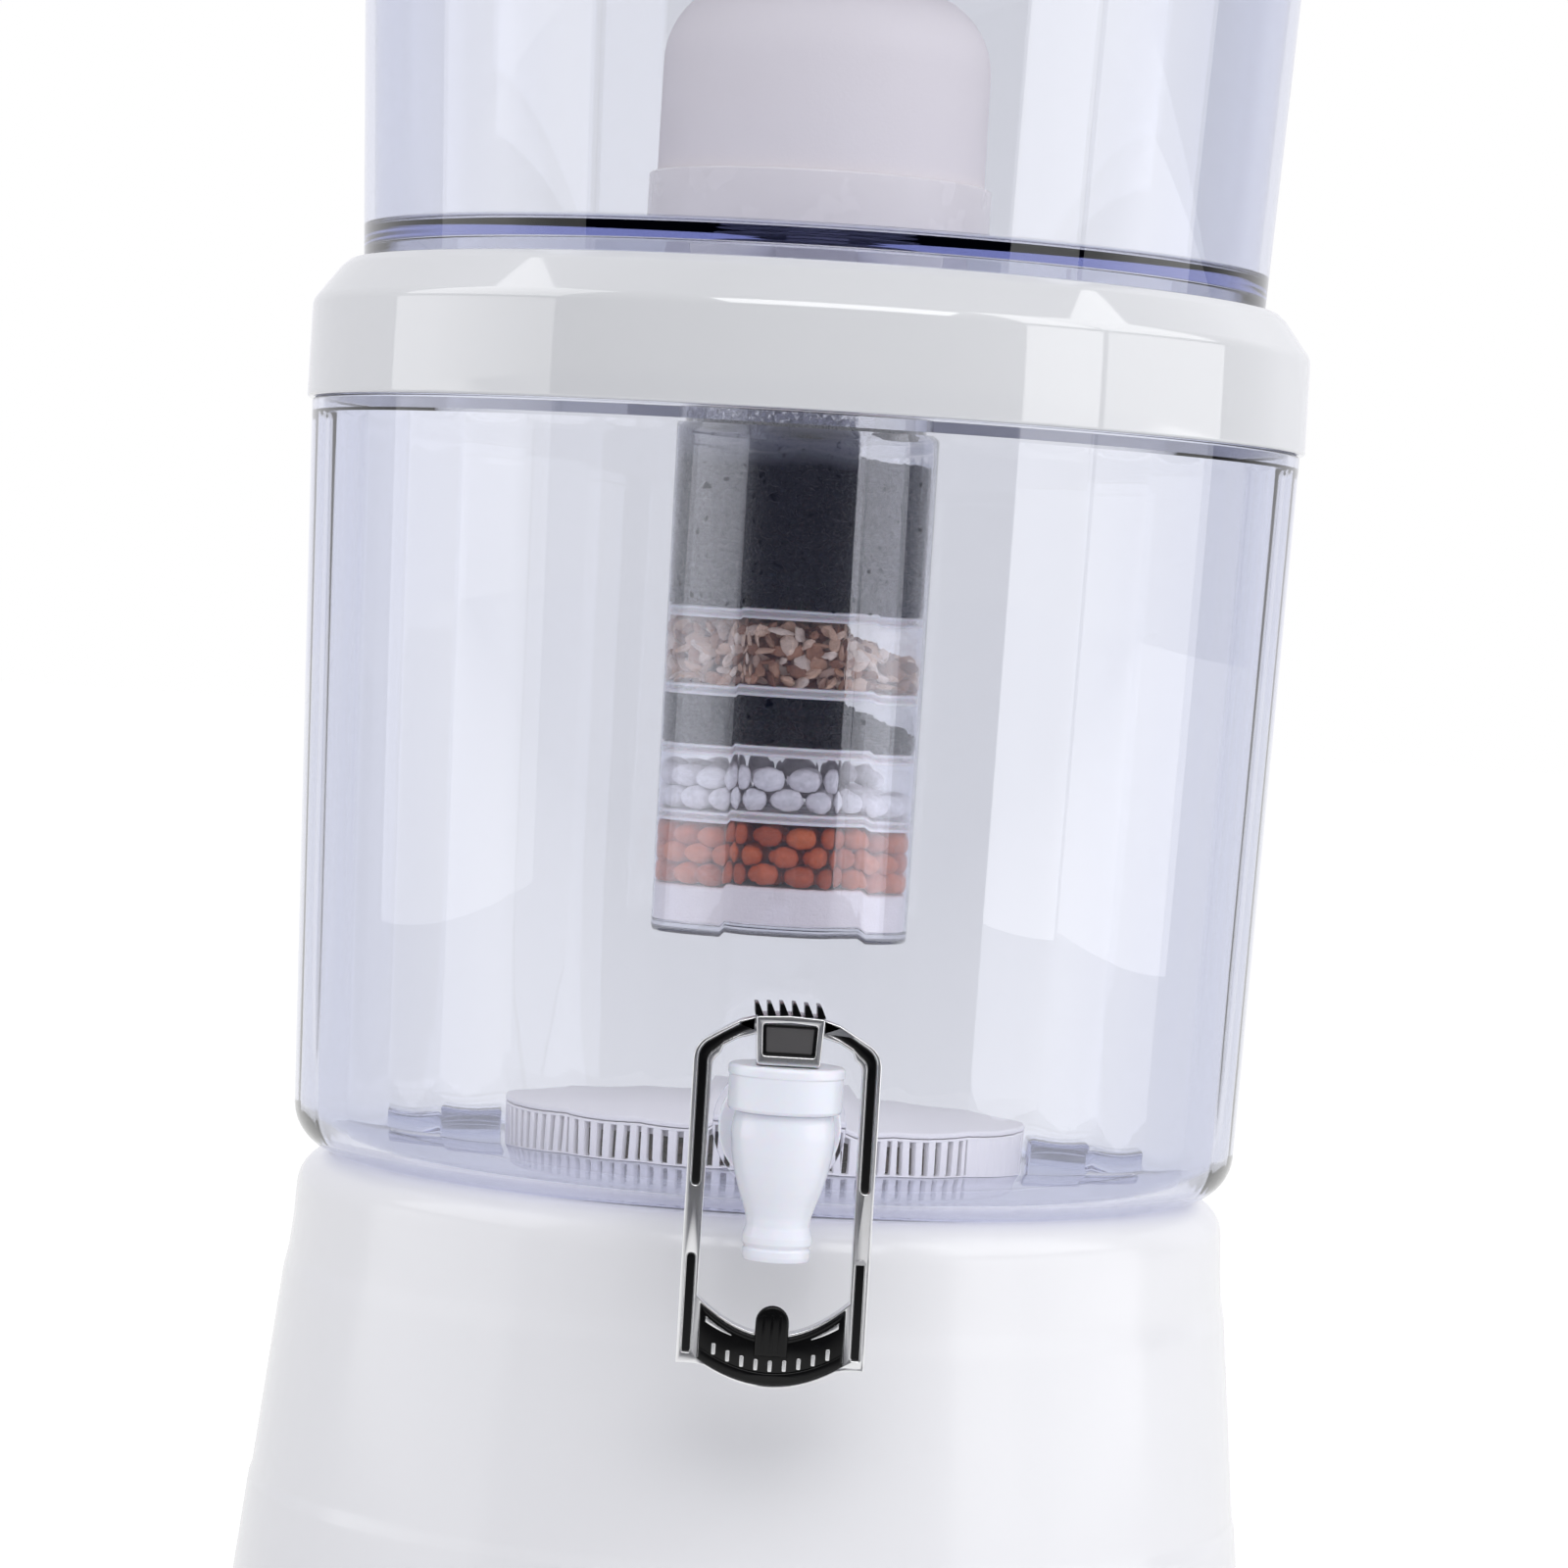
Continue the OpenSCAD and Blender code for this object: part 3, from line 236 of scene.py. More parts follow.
# each finish: the function that makes it and what that takes after the name
FINISHES = {
    # ABS, injection moulded in a polished tool: near white, glossy, with a faint orange peel
    "white_abs": (solid, "#EAEAEC", "#EEEEF0", {"IOR": 1.53}, 160, 9, 0.006, (0.05, 0.09)),
    # the stand's ABS, from a tool with a satin finish: lamps show in it as soft patches
    "satin_abs": (solid, "#EAEAEC", "#EEEEF0", {"IOR": 1.5}, 160, 9, 0.004, (0.13, 0.17)),
    # the collar's ABS, glossy enough to show a lamp's straight edge; it is the same white plastic
    # as the stand's, painted a shade greyer as painted shade for the weaker light on its upright
    # side
    "collar_abs": (solid, "#D6D7D9", "#DADBDD", {"IOR": 1.9}, 160, 9, 0.002, (0.03, 0.05)),
    # general-purpose polystyrene, clear with a blue toner: long ways through it turn navy
    "clear_blue": (clear_finish, "#F1F2F6", "#BCC2DE", "#8593DA", 8.0, 60, 0.02, {"IOR": 1.57}),
    # the same resin with less toner in the cartridge's thin tube, with a bright moulded skin
    "clear_tube": (
        clear_finish, "#FBFBFD", "#D0D4EC", "#C4C9E2", 6.0, 40, 0.01,
        {"IOR": 1.5, "Coat Weight": 1.0, "Coat IOR": 1.8},
    ),
    # fired porous ceramic: dead matt, warm grey, with the fine grain that water passes
    "ceramic": (solid, "#EDE7E5", "#F3EEEC", {"Roughness": 0.92, "IOR": 1.5}, 30, 1.2, 0.06),
    # polypropylene of the dome's base, tinted to go with the ceramic, with a soft gloss
    "base_cream": (solid, "#ECE7E4", "#F2EDEA", {"IOR": 1.49}, 40, 5, 0.01, (0.22, 0.3)),
    # polypropylene discs: milky, so light sinks in a little
    "divider_white": (
        solid, "#ECE8E8", "#F4F0EF",
        {"IOR": 1.49, "Subsurface Weight": 0.3, "Subsurface Scale": 0.003},
        12, 2, 0.01, (0.22, 0.34),
    ),
    # silicone rubber gaskets: soft and satin
    "silicone": (solid, "#D8D8DA", "#E2E2E4", {"Roughness": 0.5, "IOR": 1.41}, 10, 0.8, 0.01),
    # granular coal: jet black with glints on its broken faces
    "carbon": (
        grain_finish, ["#030304", "#060709", "#0C0D10", "#14151A"],
        {"Roughness": 0.4, "IOR": 1.5, "Specular IOR Level": 0.1}, 0.9, 0.05,
    ),
    # coal dust that clings to the tube's wall above the coal, as a soft grey fading upwards
    "carbon_dust": (dust_finish, "#1A1B20", "#AEB0B8", 329, 357, 1.6),
    # crushed maifan stone: tan, brown and cream flakes
    "stone_chips": (
        grain_finish, ["#7E4E3A", "#BE8E70", "#E4C0A4", "#F8E6D4", "#A06E50"],
        {"Roughness": 0.66, "IOR": 1.5}, 1.4, 0.08,
    ),
    # fired mineral balls, smooth and chalky
    "white_ball": (
        grain_finish, ["#F0EDEE", "#F6F4F5", "#FCFBFB"],
        {"Roughness": 0.55, "IOR": 1.5}, 1.8, 0.03,
    ),
    # fired clay balls: orange to brick
    "red_ball": (
        grain_finish, ["#AE4A22", "#C85A2A", "#DC7038", "#BC5026"],
        {"Roughness": 0.58, "IOR": 1.5}, 1.6, 0.05,
    ),
    # needled polyester felt: matt, with a soft sheen of loose fibres
    "pad_foam": (
        solid, "#EEE6E4", "#F8F1EF", {"Roughness": 0.95, "Sheen Weight": 0.3}, 4, 0.7, 0.25
    ),
    # ABS of the stone case, a little warmer than the stand's and duller
    "case_white": (solid, "#F2F0F1", "#F6F4F5", {"IOR": 1.53}, 60, 5, 0.004, (0.3, 0.4)),
    # basalt and tourmaline chips: dark, earthy and rough
    "dark_stone": (
        grain_finish, ["#2A1D19", "#4A342C", "#6A5145", "#3A2C2A"],
        {"Roughness": 0.6, "IOR": 1.5}, 1.6, 0.1,
    ),
    # acetal tap body: glossy, cool white, light sinks in a little
    "tap_white": (
        solid, "#E9EBF4", "#EEF0F8",
        {"IOR": 1.48, "Subsurface Weight": 0.25, "Subsurface Scale": 0.004},
        40, 7, 0.01, (0.12, 0.18),
    ),
    # chromium plate on ABS: a soft mirror with the slight ripple of the moulding under it
    "chrome_plate": (solid, "#EAEAEC", "#F0F0F2", {"Metallic": 1.0}, 30, 6, 0.006, (0.2, 0.27)),
    # gloss black ABS trim
    "black_abs": (solid, "#040405", "#070708", {"IOR": 1.33}, 20, 4, 0.008, (0.16, 0.24)),
    # satin painted plate
    "badge_grey": (solid, "#454445", "#4E4C4D", {"IOR": 1.5}, 10, 0.6, 0.01, (0.36, 0.46)),
    # nitrile rubber: dark and dull
    "black_rubber": (solid, "#161617", "#1F1F20", {"Roughness": 0.55, "IOR": 1.52}, 6, 0.6, 0.02),
    # drawn stainless steel: a dull mirror with fine draw marks
    "steel": (solid, "#A9A9AC", "#B6B6B8", {"Metallic": 1.0}, 8, 0.5, 0.004, (0.22, 0.34)),
}
MATERIALS = {name: make(name, *values) for name, (make, *values) in FINISHES.items()}

# ---- making pieces ----


def placed(name, data):
    """A new object in the scene."""
    made = bpy.data.objects.new(name, data)
    SCENE.collection.objects.link(made)
    return made


def piece(name, mesh, finish, body, *nodes):
    """A mesh in the scene, with its finish, its body and the CAD nodes it stands for."""
    made = placed(name, mesh)
    mesh.materials.clear()
    mesh.materials.append(MATERIALS[finish])
    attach(made, body)
    if nodes:
        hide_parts(*nodes)
    return made


def finished(mesh, crease=32):
    """Faces turned outwards and smooth, but for edges sharper than crease degrees."""
    work = bmesh.new()
    work.from_mesh(mesh)
    bmesh.ops.recalc_face_normals(work, faces=work.faces)
    work.to_mesh(mesh)
    work.free()
    mesh.shade_smooth()
    mesh.set_sharp_from_angle(angle=math.radians(crease))
    return mesh


def moved(mesh, place=(0, 0, 0), turn=0.0, axis="Z"):
    """A mesh after a turn in degrees about an axis and a move to a place in mm."""
    mesh.transform(Matrix.Rotation(math.radians(turn), 4, axis))
    mesh.transform(Matrix.Translation([c * MM for c in place]))
    return mesh


def at_tap(mesh):
    """A mesh moved from the origin to where the tap's and the shank's axes cross."""
    return moved(mesh, (0, TAP_Y, TAP_Z))


def rounded(corners, steps=5):
    """A closed outline in which a corner given as (x, y, radius) is rounded."""
    out = []
    count = len(corners)
    for i, corner in enumerate(corners):
        here = Vector(corner[:2])
        radius = corner[2] if len(corner) > 2 else 0
        before = Vector(corners[i - 1][:2]) - here
        after = Vector(corners[(i + 1) % count][:2]) - here
        flat = not radius or min(before.length, after.length) < 1e-6
        angle = 0 if flat else before.angle(after)
        if flat or angle > math.pi - 0.02:
            out.append(tuple(here))
            continue
        reach = min(radius / math.tan(angle / 2), 0.49 * before.length, 0.49 * after.length)
        true_radius = reach * math.tan(angle / 2)
        middle = (before.normalized() + after.normalized()).normalized()
        centre = here + middle * true_radius / math.sin(angle / 2)
        first = here + before.normalized() * reach - centre
        last = here + after.normalized() * reach - centre
        turn = first.angle(last)
        for k in range(steps + 1):
            share = k / steps
            spoke = first * math.sin((1 - share) * turn) + last * math.sin(share * turn)
            out.append(tuple(centre + spoke / math.sin(turn)))
    return out


def grid_mesh(name, rows):
    """A closed skin over rows of points, each row a ring and the last joined to the first."""
    rows = np.asarray(rows, float)
    count, around, _ = rows.shape
    index = np.arange(count * around).reshape(count, around)
    beside = np.roll(index, -1, 1)
    corners = [index, beside, np.roll(beside, -1, 0), np.roll(index, -1, 0)]
    mesh = bpy.data.meshes.new(name)
    mesh.from_pydata(rows.reshape(-1, 3) * MM, [], np.stack(corners, -1).reshape(-1, 4).tolist())
    work = bmesh.new()
    work.from_mesh(mesh)
    bmesh.ops.remove_doubles(work, verts=work.verts, dist=1e-6)
    work.to_mesh(mesh)
    work.free()
    return mesh


def about_axis(rows, angles, foot=0.0):
    """Points about the Z axis from rows of (radius, height above foot), at each angle."""
    r, z = np.moveaxis(np.asarray(rows, float), -1, 0)
    return np.stack([r * np.cos(angles), r * np.sin(angles), foot + z + 0 * angles], -1)


def turned(name, outline, around, foot=0.0, steps=5):
    """A body turned about the Z axis, from an outline of (radius, height above foot, rounding)."""
    angles = np.arange(around) * 2 * math.pi / around
    rows = [[point] for point in rounded(outline, steps)]
    return finished(grid_mesh(name, about_axis(rows, angles, foot)))


def plate(name, loops, depth, edge, middle=0.0):
    """An upright plate in the X-Z plane: the first loop is its outline, others are holes. Its
    edges are rounded by edge and its depth lies about the Y of middle."""
    curve = bpy.data.curves.new(name, "CURVE")
    curve.dimensions = "2D"
    curve.fill_mode = "BOTH"
    curve.extrude = (depth / 2 - edge) * MM
    curve.bevel_depth = edge * MM
    curve.bevel_resolution = 2
    curve.offset = -edge * MM
    for loop in loops:
        spline = curve.splines.new("POLY")
        spline.points.add(len(loop) - 1)
        for point, (x, z) in zip(spline.points, loop):
            point.co = (x * MM, z * MM, 0, 1)
        spline.use_cyclic_u = True
    holder = placed(name, curve)
    bpy.context.view_layer.update()
    flat = holder.evaluated_get(bpy.context.evaluated_depsgraph_get())
    mesh = bpy.data.meshes.new_from_object(flat)
    bpy.data.objects.remove(holder)
    return moved(mesh, (0, middle, 0), 90, "X")


def merged(name, meshes):
    """Several meshes as one, with what their points keep."""
    work = bmesh.new()
    for mesh in meshes:
        work.from_mesh(mesh)
    out = bpy.data.meshes.new(name)
    bmesh.ops.remove_doubles(work, verts=work.verts, dist=1e-7)
    work.to_mesh(out)
    work.free()
    return out


def box_mesh(name, low, high, edge=0.0, steps=2):
    """A block between two corners, in mm, with its edges rounded by edge."""
    work = bmesh.new()
    bmesh.ops.create_cube(work, size=1)
    low, high = Vector(low), Vector(high)
    for vert in work.verts:
        vert.co = (low + high) / 2 + Vector(a * b for a, b in zip(vert.co, high - low))
    if edge:
        how = {"offset": edge, "segments": steps, "profile": 0.5, "affect": "EDGES"}
        bmesh.ops.bevel(work, geom=list(work.edges), **how)
    mesh = bpy.data.meshes.new(name)
    bmesh.ops.scale(work, vec=(MM, MM, MM), verts=work.verts)
    work.to_mesh(mesh)
    work.free()
    return mesh


def combined(target, others, operation):
    """Joins clear meshes to target, or cuts them from it, as one closed skin."""
    for other in others:
        tool = placed("tool", other)
        change = target.modifiers.new("change", "BOOLEAN")
        change.operation = operation
        change.solver = "EXACT"
        change.object = tool
        bpy.context.view_layer.update()
        evaluated = target.evaluated_get(bpy.context.evaluated_depsgraph_get())
        mesh = bpy.data.meshes.new_from_object(evaluated)
        target.modifiers.clear()
        target.data = mesh
        bpy.data.objects.remove(tool)


# ---- grains ----

# each kind: its sphere's subdivisions, ranges of width and thickness against its length, how
# rough it is, and which of a shape's draws it takes
GRAIN_KINDS = {
    "crystal": (1, (0.65, 1.0), (0.55, 0.9), 0.5, 2),
    "flake": (2, (0.45, 0.75), (0.2, 0.36), 0.55, 4),
    "pebble": (2, (0.7, 0.95), (0.5, 0.8), 0.4, 6),
    "ball": (3, (0.95, 1.0), (0.9, 0.98), 0.06, 8),
}
SHAPES_OF_A_KIND = 9


def grain_shapes(kind, seed):
    """A few different grains of a kind, of unit length."""
    rng = random.Random(seed)
    detail, widths, thicknesses, rough, first_draw = GRAIN_KINDS[kind]
    shapes = []
    for _ in range(SHAPES_OF_A_KIND):
        work = bmesh.new()
        bmesh.ops.create_icosphere(work, subdivisions=detail, radius=0.5)
        shift = Vector((rng.random() * 50, rng.random() * 50, rng.random() * 50))
        draws = [rng.random() for _ in range(10)][first_draw : first_draw + 2]
        sides = [low + (high - low) * x for (low, high), x in zip((widths, thicknesses), draws)]
        for vert in work.verts:
            push = 1 + rough * noise.noise(vert.co * 2.2 + shift)
            vert.co = Vector(a * b * push for a, b in zip(vert.co, (1.0, *sides)))
        points = np.array([v.co[:] for v in work.verts])
        faces = np.array([[v.index for v in f.verts] for f in work.faces])
        work.free()
        shapes.append((points, faces))
    return shapes


def set_tones(mesh, tones):
    """Keeps a tone for each point, which the grains' finish reads."""
    kept = mesh.attributes.new("tone", "FLOAT", "POINT")
    kept.data.foreach_set("value", np.asarray(tones, np.float32))


def grains(name, kind, places, size, seed):
    """One mesh of grains, one at each place in mm. size is the range of their lengths."""
    rng = np.random.default_rng(seed)
    shapes = grain_shapes(kind, seed)
    all_points, all_faces, tones, start = [], [], [], 0
    for place in places:
        points, faces = shapes[rng.integers(len(shapes))]
        spin = Matrix.Rotation(rng.uniform(0, 2 * math.pi), 3, "Z")
        for axis in "XY":
            spin = Matrix.Rotation(rng.uniform(-1, 1) * math.pi, 3, axis) @ spin
        all_points.append(points @ np.array(spin).T * rng.uniform(*size) + np.asarray(place))
        all_faces.append(faces + start)
        tones.append(np.full(len(points), rng.random()))
        start += len(points)
    mesh = bpy.data.meshes.new(name)
    mesh.from_pydata(np.concatenate(all_points) * MM, [], np.concatenate(all_faces).tolist())
    set_tones(mesh, np.concatenate(tones))
    if kind == "ball":
        mesh.shade_smooth()
    return mesh


def packed_places(low, top, spacing, radius, seed):
    """Places for grains: two rings against the wall, and across the surface, whose height is
    top(x)."""
    rng = random.Random(seed)
    out = []
    for ring in range(2):
        r = radius - spacing * (0.5 + 0.85 * ring)
        rows = int((max(top(-radius), top(radius)) - low) / (spacing * 0.8)) + 1
        count = int(2 * math.pi * r / spacing)
        for row in range(rows):
            z = low + spacing * (0.5 + 0.8 * row)
            for i in range(count):
                a = (i + 0.5 * (row % 2) + rng.uniform(-0.2, 0.2)) * 2 * math.pi / count
                x = r * math.cos(a)
                if z < top(x) - spacing * 0.3:
                    jitter = rng.uniform(-0.12, 0.12) * spacing
                    out.append((x, r * math.sin(a), z + jitter))
    r = radius - spacing * 1.6
    while r > 0:
        count = max(1, int(2 * math.pi * r / spacing))
        for i in range(count):
            a = (i + rng.uniform(-0.2, 0.2)) * 2 * math.pi / count
            x = r * math.cos(a)
            out.append((x, r * math.sin(a), top(x) - spacing * rng.uniform(0.4, 0.7)))
        r -= spacing * 0.85
    return out


def ball_places(low, rows, size, seed, gap=None):
    """Rows of balls in two rings against the wall. gap says where the top row stays empty."""
    rng = random.Random(seed)
    out = []
    for row in range(rows):
        z = low + size * (0.5 + 0.86 * row)
        for ring in range(2):
            r = MEDIA_R - size * (0.5 + 0.9 * ring)
            count = int(2 * math.pi * r / (size * 1.02))
            for i in range(count):
                a = (i + 0.5 * (row + ring)) * 2 * math.pi / count
                place = Vector((r * math.cos(a), r * math.sin(a), z))
                if gap and row == rows - 1 and gap(place):
                    continue
                place += Vector(rng.uniform(-0.35, 0.35) for _ in "xyz")
                out.append(place[:])
    return out


def core(name, low, top, radius):
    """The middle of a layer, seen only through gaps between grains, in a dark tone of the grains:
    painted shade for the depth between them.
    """
    steps = 48
    angles = [2 * math.pi * i / steps for i in range(steps)]
    base = [(radius * math.cos(a), radius * math.sin(a), low) for a in angles]
    cover = [(x, y, max(low + 0.5, top(x))) for x, y, _ in base]
    rows = [[(0, 0, low)] * steps, base, cover, [(0, 0, max(low + 0.5, top(0)))] * steps]
    mesh = grid_mesh(name, rows)
    # the middle takes a dark tone of the grains, painted shade for the depth of the gaps between
    # them
    set_tones(mesh, np.full(len(mesh.vertices), 0.1))
    return mesh


# ---- stand ----


def make_stand():
    """The stand's tapered shell with two soft bands, and the ribs and hub under its top."""
    side_r, foot_r, shoulder, wall_t, rim_w = 136.8, 148.0, 12.0, 3.0, 8.0
    boss_r, boss_h = 109.5, 1.1
    hub_r, rib_t, rib_low, rib_high = 30.0, 2.2, STAND_H - 17, STAND_H - 2.4
    top_r = side_r - 2 * BAND_DEPTH

    def side(z):
        return foot_r + (side_r - foot_r) * z / (STAND_H - shoulder)

    def wall(z):
        steps = [eased((z - STAND_H + below) / height + 0.5) for below, height in BANDS]
        return side(z) - BAND_DEPTH * sum(steps)

    heights = [20, *np.linspace(28, 33.6, 15), 60, *np.linspace(88.6, 97, 19), 104]
    outline = [
        (foot_r - rim_w, 0, 0.4), (foot_r, 0, 0.8), *[(wall(z), z) for z in heights],
        (top_r, STAND_H, shoulder), (boss_r, STAND_H, 0.4), (boss_r, STAND_H + boss_h, 0.3),
        (0, STAND_H + boss_h), (0, STAND_H - wall_t), (top_r - 11, STAND_H - wall_t, 3),
        (top_r - wall_t, STAND_H - shoulder, 3), (side(3) - wall_t, 3, 0.5),
        (foot_r - rim_w, 3, 0.4),
    ]
    parts = [turned("stand_shell", outline, 240, steps=8)]
    for i in range(6):
        rib = box_mesh("stand_rib", (29, -rib_t / 2, rib_low), (123, rib_t / 2, rib_high), 0.35)
        parts.append(moved(rib, turn=60 * i))
    hub = [(27.8, rib_low, 0.4), (hub_r, rib_low, 0.4), (hub_r, rib_high), (27.8, rib_high)]
    parts.append(turned("stand_hub", hub, 96))
    return finished(merged("stand", parts))


piece("stand", make_stand(), "satin_abs", "stand", "stand")

# ---- lower tank ----


def flute_radius(z, off_centre, half=FLUTE_STEP / 2):
    """Inner radius at a height, off_centre degrees from the middle of a flute that spans half on
    each side. A flute is flat but for a bow, which grows until it fades at the tank's bottom."""
    angle = min(abs(off_centre), half - RIDGE)
    corner = (tank_r(z) - TANK_WALL) / math.cos(math.radians(FLUTE_STEP / 2))
    flat = corner * math.cos(math.radians(half)) / math.cos(math.radians(angle))
    bow = FLUTE_BOW + (FLUTE_BOW_LOW - FLUTE_BOW) * eased((FLUTE_FADE - z) / FLUTE_FADE)
    return flat + bow * (corner - flat)


def flute_columns():
    """Angle, place in its flute and the flute's half width, for each column of the skin."""
    columns = []
    for i in range(FLUTES):
        half = FLUTE_STEP / 2 if i else FLUTE_FRONT / 2
        middle = FLUTE_TURN - 90
        if i:
            middle += FLUTE_FRONT / 2 + FLUTE_STEP * (i - 0.5)
        inner = [share * half for share in (-0.7, -0.35, 0, 0.35, 0.7)]
        inner = (-half, RIDGE - half, *inner, half - RIDGE)
        columns += [(middle + off, off, half) for off in inner]
    return columns


def make_lower_tank():
    """The tank's skin, round outside and fluted inside, from foot over neck to floor."""
    columns = flute_columns()
    corner_z = TANK_FLOOR + TANK_IN_CORNER
    corner_r = flute_radius(corner_z, FLUTE_STEP / 2) - TANK_IN_CORNER
    neck_in = flute_radius(FLUTE_TOP, FLUTE_STEP / 2)
    bore = neck_in + 0.5
    outline = [
        (108, TANK_RECESS, 0.5), (110, 0, 0.6), (TANK_BOTTOM_R - 0.49, 0, TANK_CORNER - 0.4),
        (TANK_TOP_R, TANK_H, 0.7), (NECK_R, TANK_H, 0.3), (NECK_R, NECK_TOP, 0.6),
        (bore, NECK_TOP, 0.6),
    ]
    level = [(0, TANK_RECESS), *rounded(outline, 10)]
    level += [(bore, z) for z in (232, 222, FLUTE_TOP + 0.9)]
    rows = [[point] * len(columns) for point in level]
    for k in range(9):
        z = FLUTE_TOP - SCALLOP * k / 8
        cone = neck_in - (neck_in - (tank_r(z) - TANK_WALL)) * k / 8
        rows.append([(max(cone, flute_radius(z, off, half)), z) for _, off, half in columns])
    for z in np.linspace(FLUTE_TOP - SCALLOP - 1, corner_z, 12):
        rows.append([(flute_radius(z, off, half), z) for _, off, half in columns])
    for k in range(1, 10):
        a = math.radians(90 * k / 9)
        z = corner_z - TANK_IN_CORNER * math.sin(a)
        r = corner_r + TANK_IN_CORNER * math.cos(a)
        rows.append([(min(r, flute_radius(z, off, half)), z) for _, off, half in columns])
    for share in (0.75, 0.5, 0.25, 0):
        rows.append([(corner_r * share, TANK_FLOOR)] * len(columns))
    angles = np.radians([angle for angle, _, _ in columns])
    return finished(grid_mesh("lower_tank", about_axis(rows, angles, TANK_BASE)), 20)


def lug_mesh(turn):
    """A lug beside the stone case, with its ledge, sunk into the floor to join it."""
    floor = TANK_BASE + TANK_FLOOR
    block = box_mesh("lug", (76.5, -14, floor - 1), (94, 14, floor + 11.8), 1.2, 3)
    ledge = box_mesh("lug", (92, -13.9, floor + 3.2), (111, 13.9, floor + 9.7), 1.0, 3)
    return [moved(finished(mesh), turn=turn) for mesh in (block, ledge)]


tank = piece("lower_tank", make_lower_tank(), "clear_blue", "lower_tank", "lower_tank")
pad = turned("tap_pad", [(0, 0), (18, 0, 0.5), (18, 3, 0.2), (0, 3)], 64)
bore = turned("tap_bore", [(0, 0), (8.05, 0), (8.05, 20), (0, 20)], 64)
pad = moved(pad, (0, -136.74, TAP_Z), 90, "X")
combined(tank, [*lug_mesh(0), *lug_mesh(180), pad], "UNION")
combined(tank, [moved(bore, (0, -125, TAP_Z), 90, "X")], "DIFFERENCE")
tank.data.set_sharp_from_angle(angle=math.radians(20))

# ---- turned pieces ----

CART_L = CART_TOP - CART_BOTTOM
DISC = [
    (0, 0), (35.6, 0, 0.3), (35.6, 0.8, 0.3), (33.2, 1.1, 0.2), (33.2, 1.9, 0.2),
    (35.6, 2.2, 0.3), (35.6, 3, 0.3), (0, 3),
]
# name, finish, body, the height from which the outline counts, steps in which its corners are
# rounded, points around, and the outline of (radius, height, rounding)
TURNED = [
    ("collar", "collar_abs", "collar", COLLAR_BASE, 7, 288, [
        (144.4, 0, 0.5), (146.8, 0, 0.9), (146.8, 28.3, 5), (139.2, 38.6, 6), (137, 40.6, 1.2),
        (135.2, 41, 0.6), (134.6, 40.6, 0.5), (134.2, 30, 0.4), (45, 30, 1.2), (45, 27, 1.2),
        (137, 27, 0.8), (137, 34, 1), (139.9, 32.5, 0.8), (139.9, 28.5, 0.4), (144.4, 28.5, 0.6),
    ]),
    ("upper_tank", "clear_blue", "upper_tank", UPPER_BASE, 9, 288, [
        (0, 15.2), (128.9, 15.2, 1.2), (128.9, 0, 1.2), (132.1, 0, 1.2), (142.63, 191.7, 1),
        (143.9, 192.7, 0.6), (143.9, 196.7, 1.4), (139.7, 196.7, 1.4), (129.98, 19.7, 2), (0, 19.7),
    ]),
    ("lid", "white_abs", "lid", LID_BASE, 7, 256, [
        (2.3, LID_CROWN), (30, LID_CROWN, 4), (142.5, 9.6, 7), (146.9, 4, 6), (146.9, -10, 0.9),
        (144.3, -10, 0.9), (144.3, 0, 0.8), (138.6, 0, 0.8), (138.6, -8, 0.8), (136.4, -8, 0.8),
        (136.4, 5.4, 2), (30, 21.4, 3), (2.3, 21.4),
    ]),
    ("lid_knob", "white_abs", "lid", LID_BASE + LID_CROWN, 7, 128, [
        (0, 28), (20, 28, 5), (20, 19.6, 3), (12.4, 12.6, 4), (12, 7, 4), (15, 0, 0.6), (2.1, 0),
        (2.1, 19), (0, 19),
    ]),
    ("dome_ceramic", "ceramic", "upper_tank", UPPER_FLOOR, 14, 160, [
        (40.25, 6.3), (48.25, 6.3, 0.6), (48.25, 79, 26), (0, 80.2), (0, 72), (40.25, 71, 18),
    ]),
    ("dome_base", "base_cream", "upper_tank", UPPER_FLOOR, 5, 160, [
        (3.2, -27.5), (6, -27.5, 0.5), (6, 2, 0.2), (21, 2, 0.3), (21, 0.3, 0.2), (50.55, 0.3, 1),
        (50.55, 22.3, 0.7), (48.55, 22.3, 0.4), (48.55, 6.3), (3.2, 6.3),
    ]),
    ("cartridge_cap", "white_abs", "cartridge", CART_TOP, 5, 128, [
        (6.05, 5.4, 0.3), (37.9, 5.4, 2), (39.9, 3.4, 1.4), (39.9, -20, 0.5), (37.8, -20, 0.3),
        (37.8, 1.4), (12, 1.4, 0.6), (12, -7.6, 0.6), (6.05, -7.6, 0.3),
    ]),
    ("cartridge_body", "clear_tube", "cartridge", CART_BOTTOM, 7, 160, [
        (0, 0), (CART_R, 0, 2.2), (CART_R, CART_L, 0.6), (CART_IN, CART_L, 0.6),
        (CART_IN, CART_FLOOR, 0.9), (0, CART_FLOOR),
    ]),
    ("cartridge_pad", "pad_foam", "cartridge", CART_BOTTOM + CART_FLOOR, 5, 128, [
        (0, 0.05), (MEDIA_R, 0.05, 1), (MEDIA_R, 10.8, 1.4), (0, 10.8),
    ]),
    ("divider_1", "divider_white", "cartridge", 227.5, 3, 128, DISC),
    ("divider_2", "divider_white", "cartridge", 246.5, 3, 128, DISC),
    ("divider_3", "divider_white", "cartridge", 263.5, 3, 128, DISC),
    ("divider_4", "divider_white", "cartridge", 285.5, 3, 128, DISC),
    ("case_lid", "case_white", "case_lid", CASE_BASE + CASE_H + 0.3, 5, 240, [
        (0, 0), (70.9, 0), (70.9, -3, 0.3), (72.5, -3, 0.3), (72.5, 0, 0.2), (CASE_R, 0, 0.3),
        (CASE_R, 1.6, 0.7), (0, 1.6),
    ]),
]
for name, finish, body, height, steps, around, outline in TURNED:
    mesh = turned(name, outline, around, height, steps)
    piece(name, mesh, finish, body, name)

# ---- media of the cartridge ----


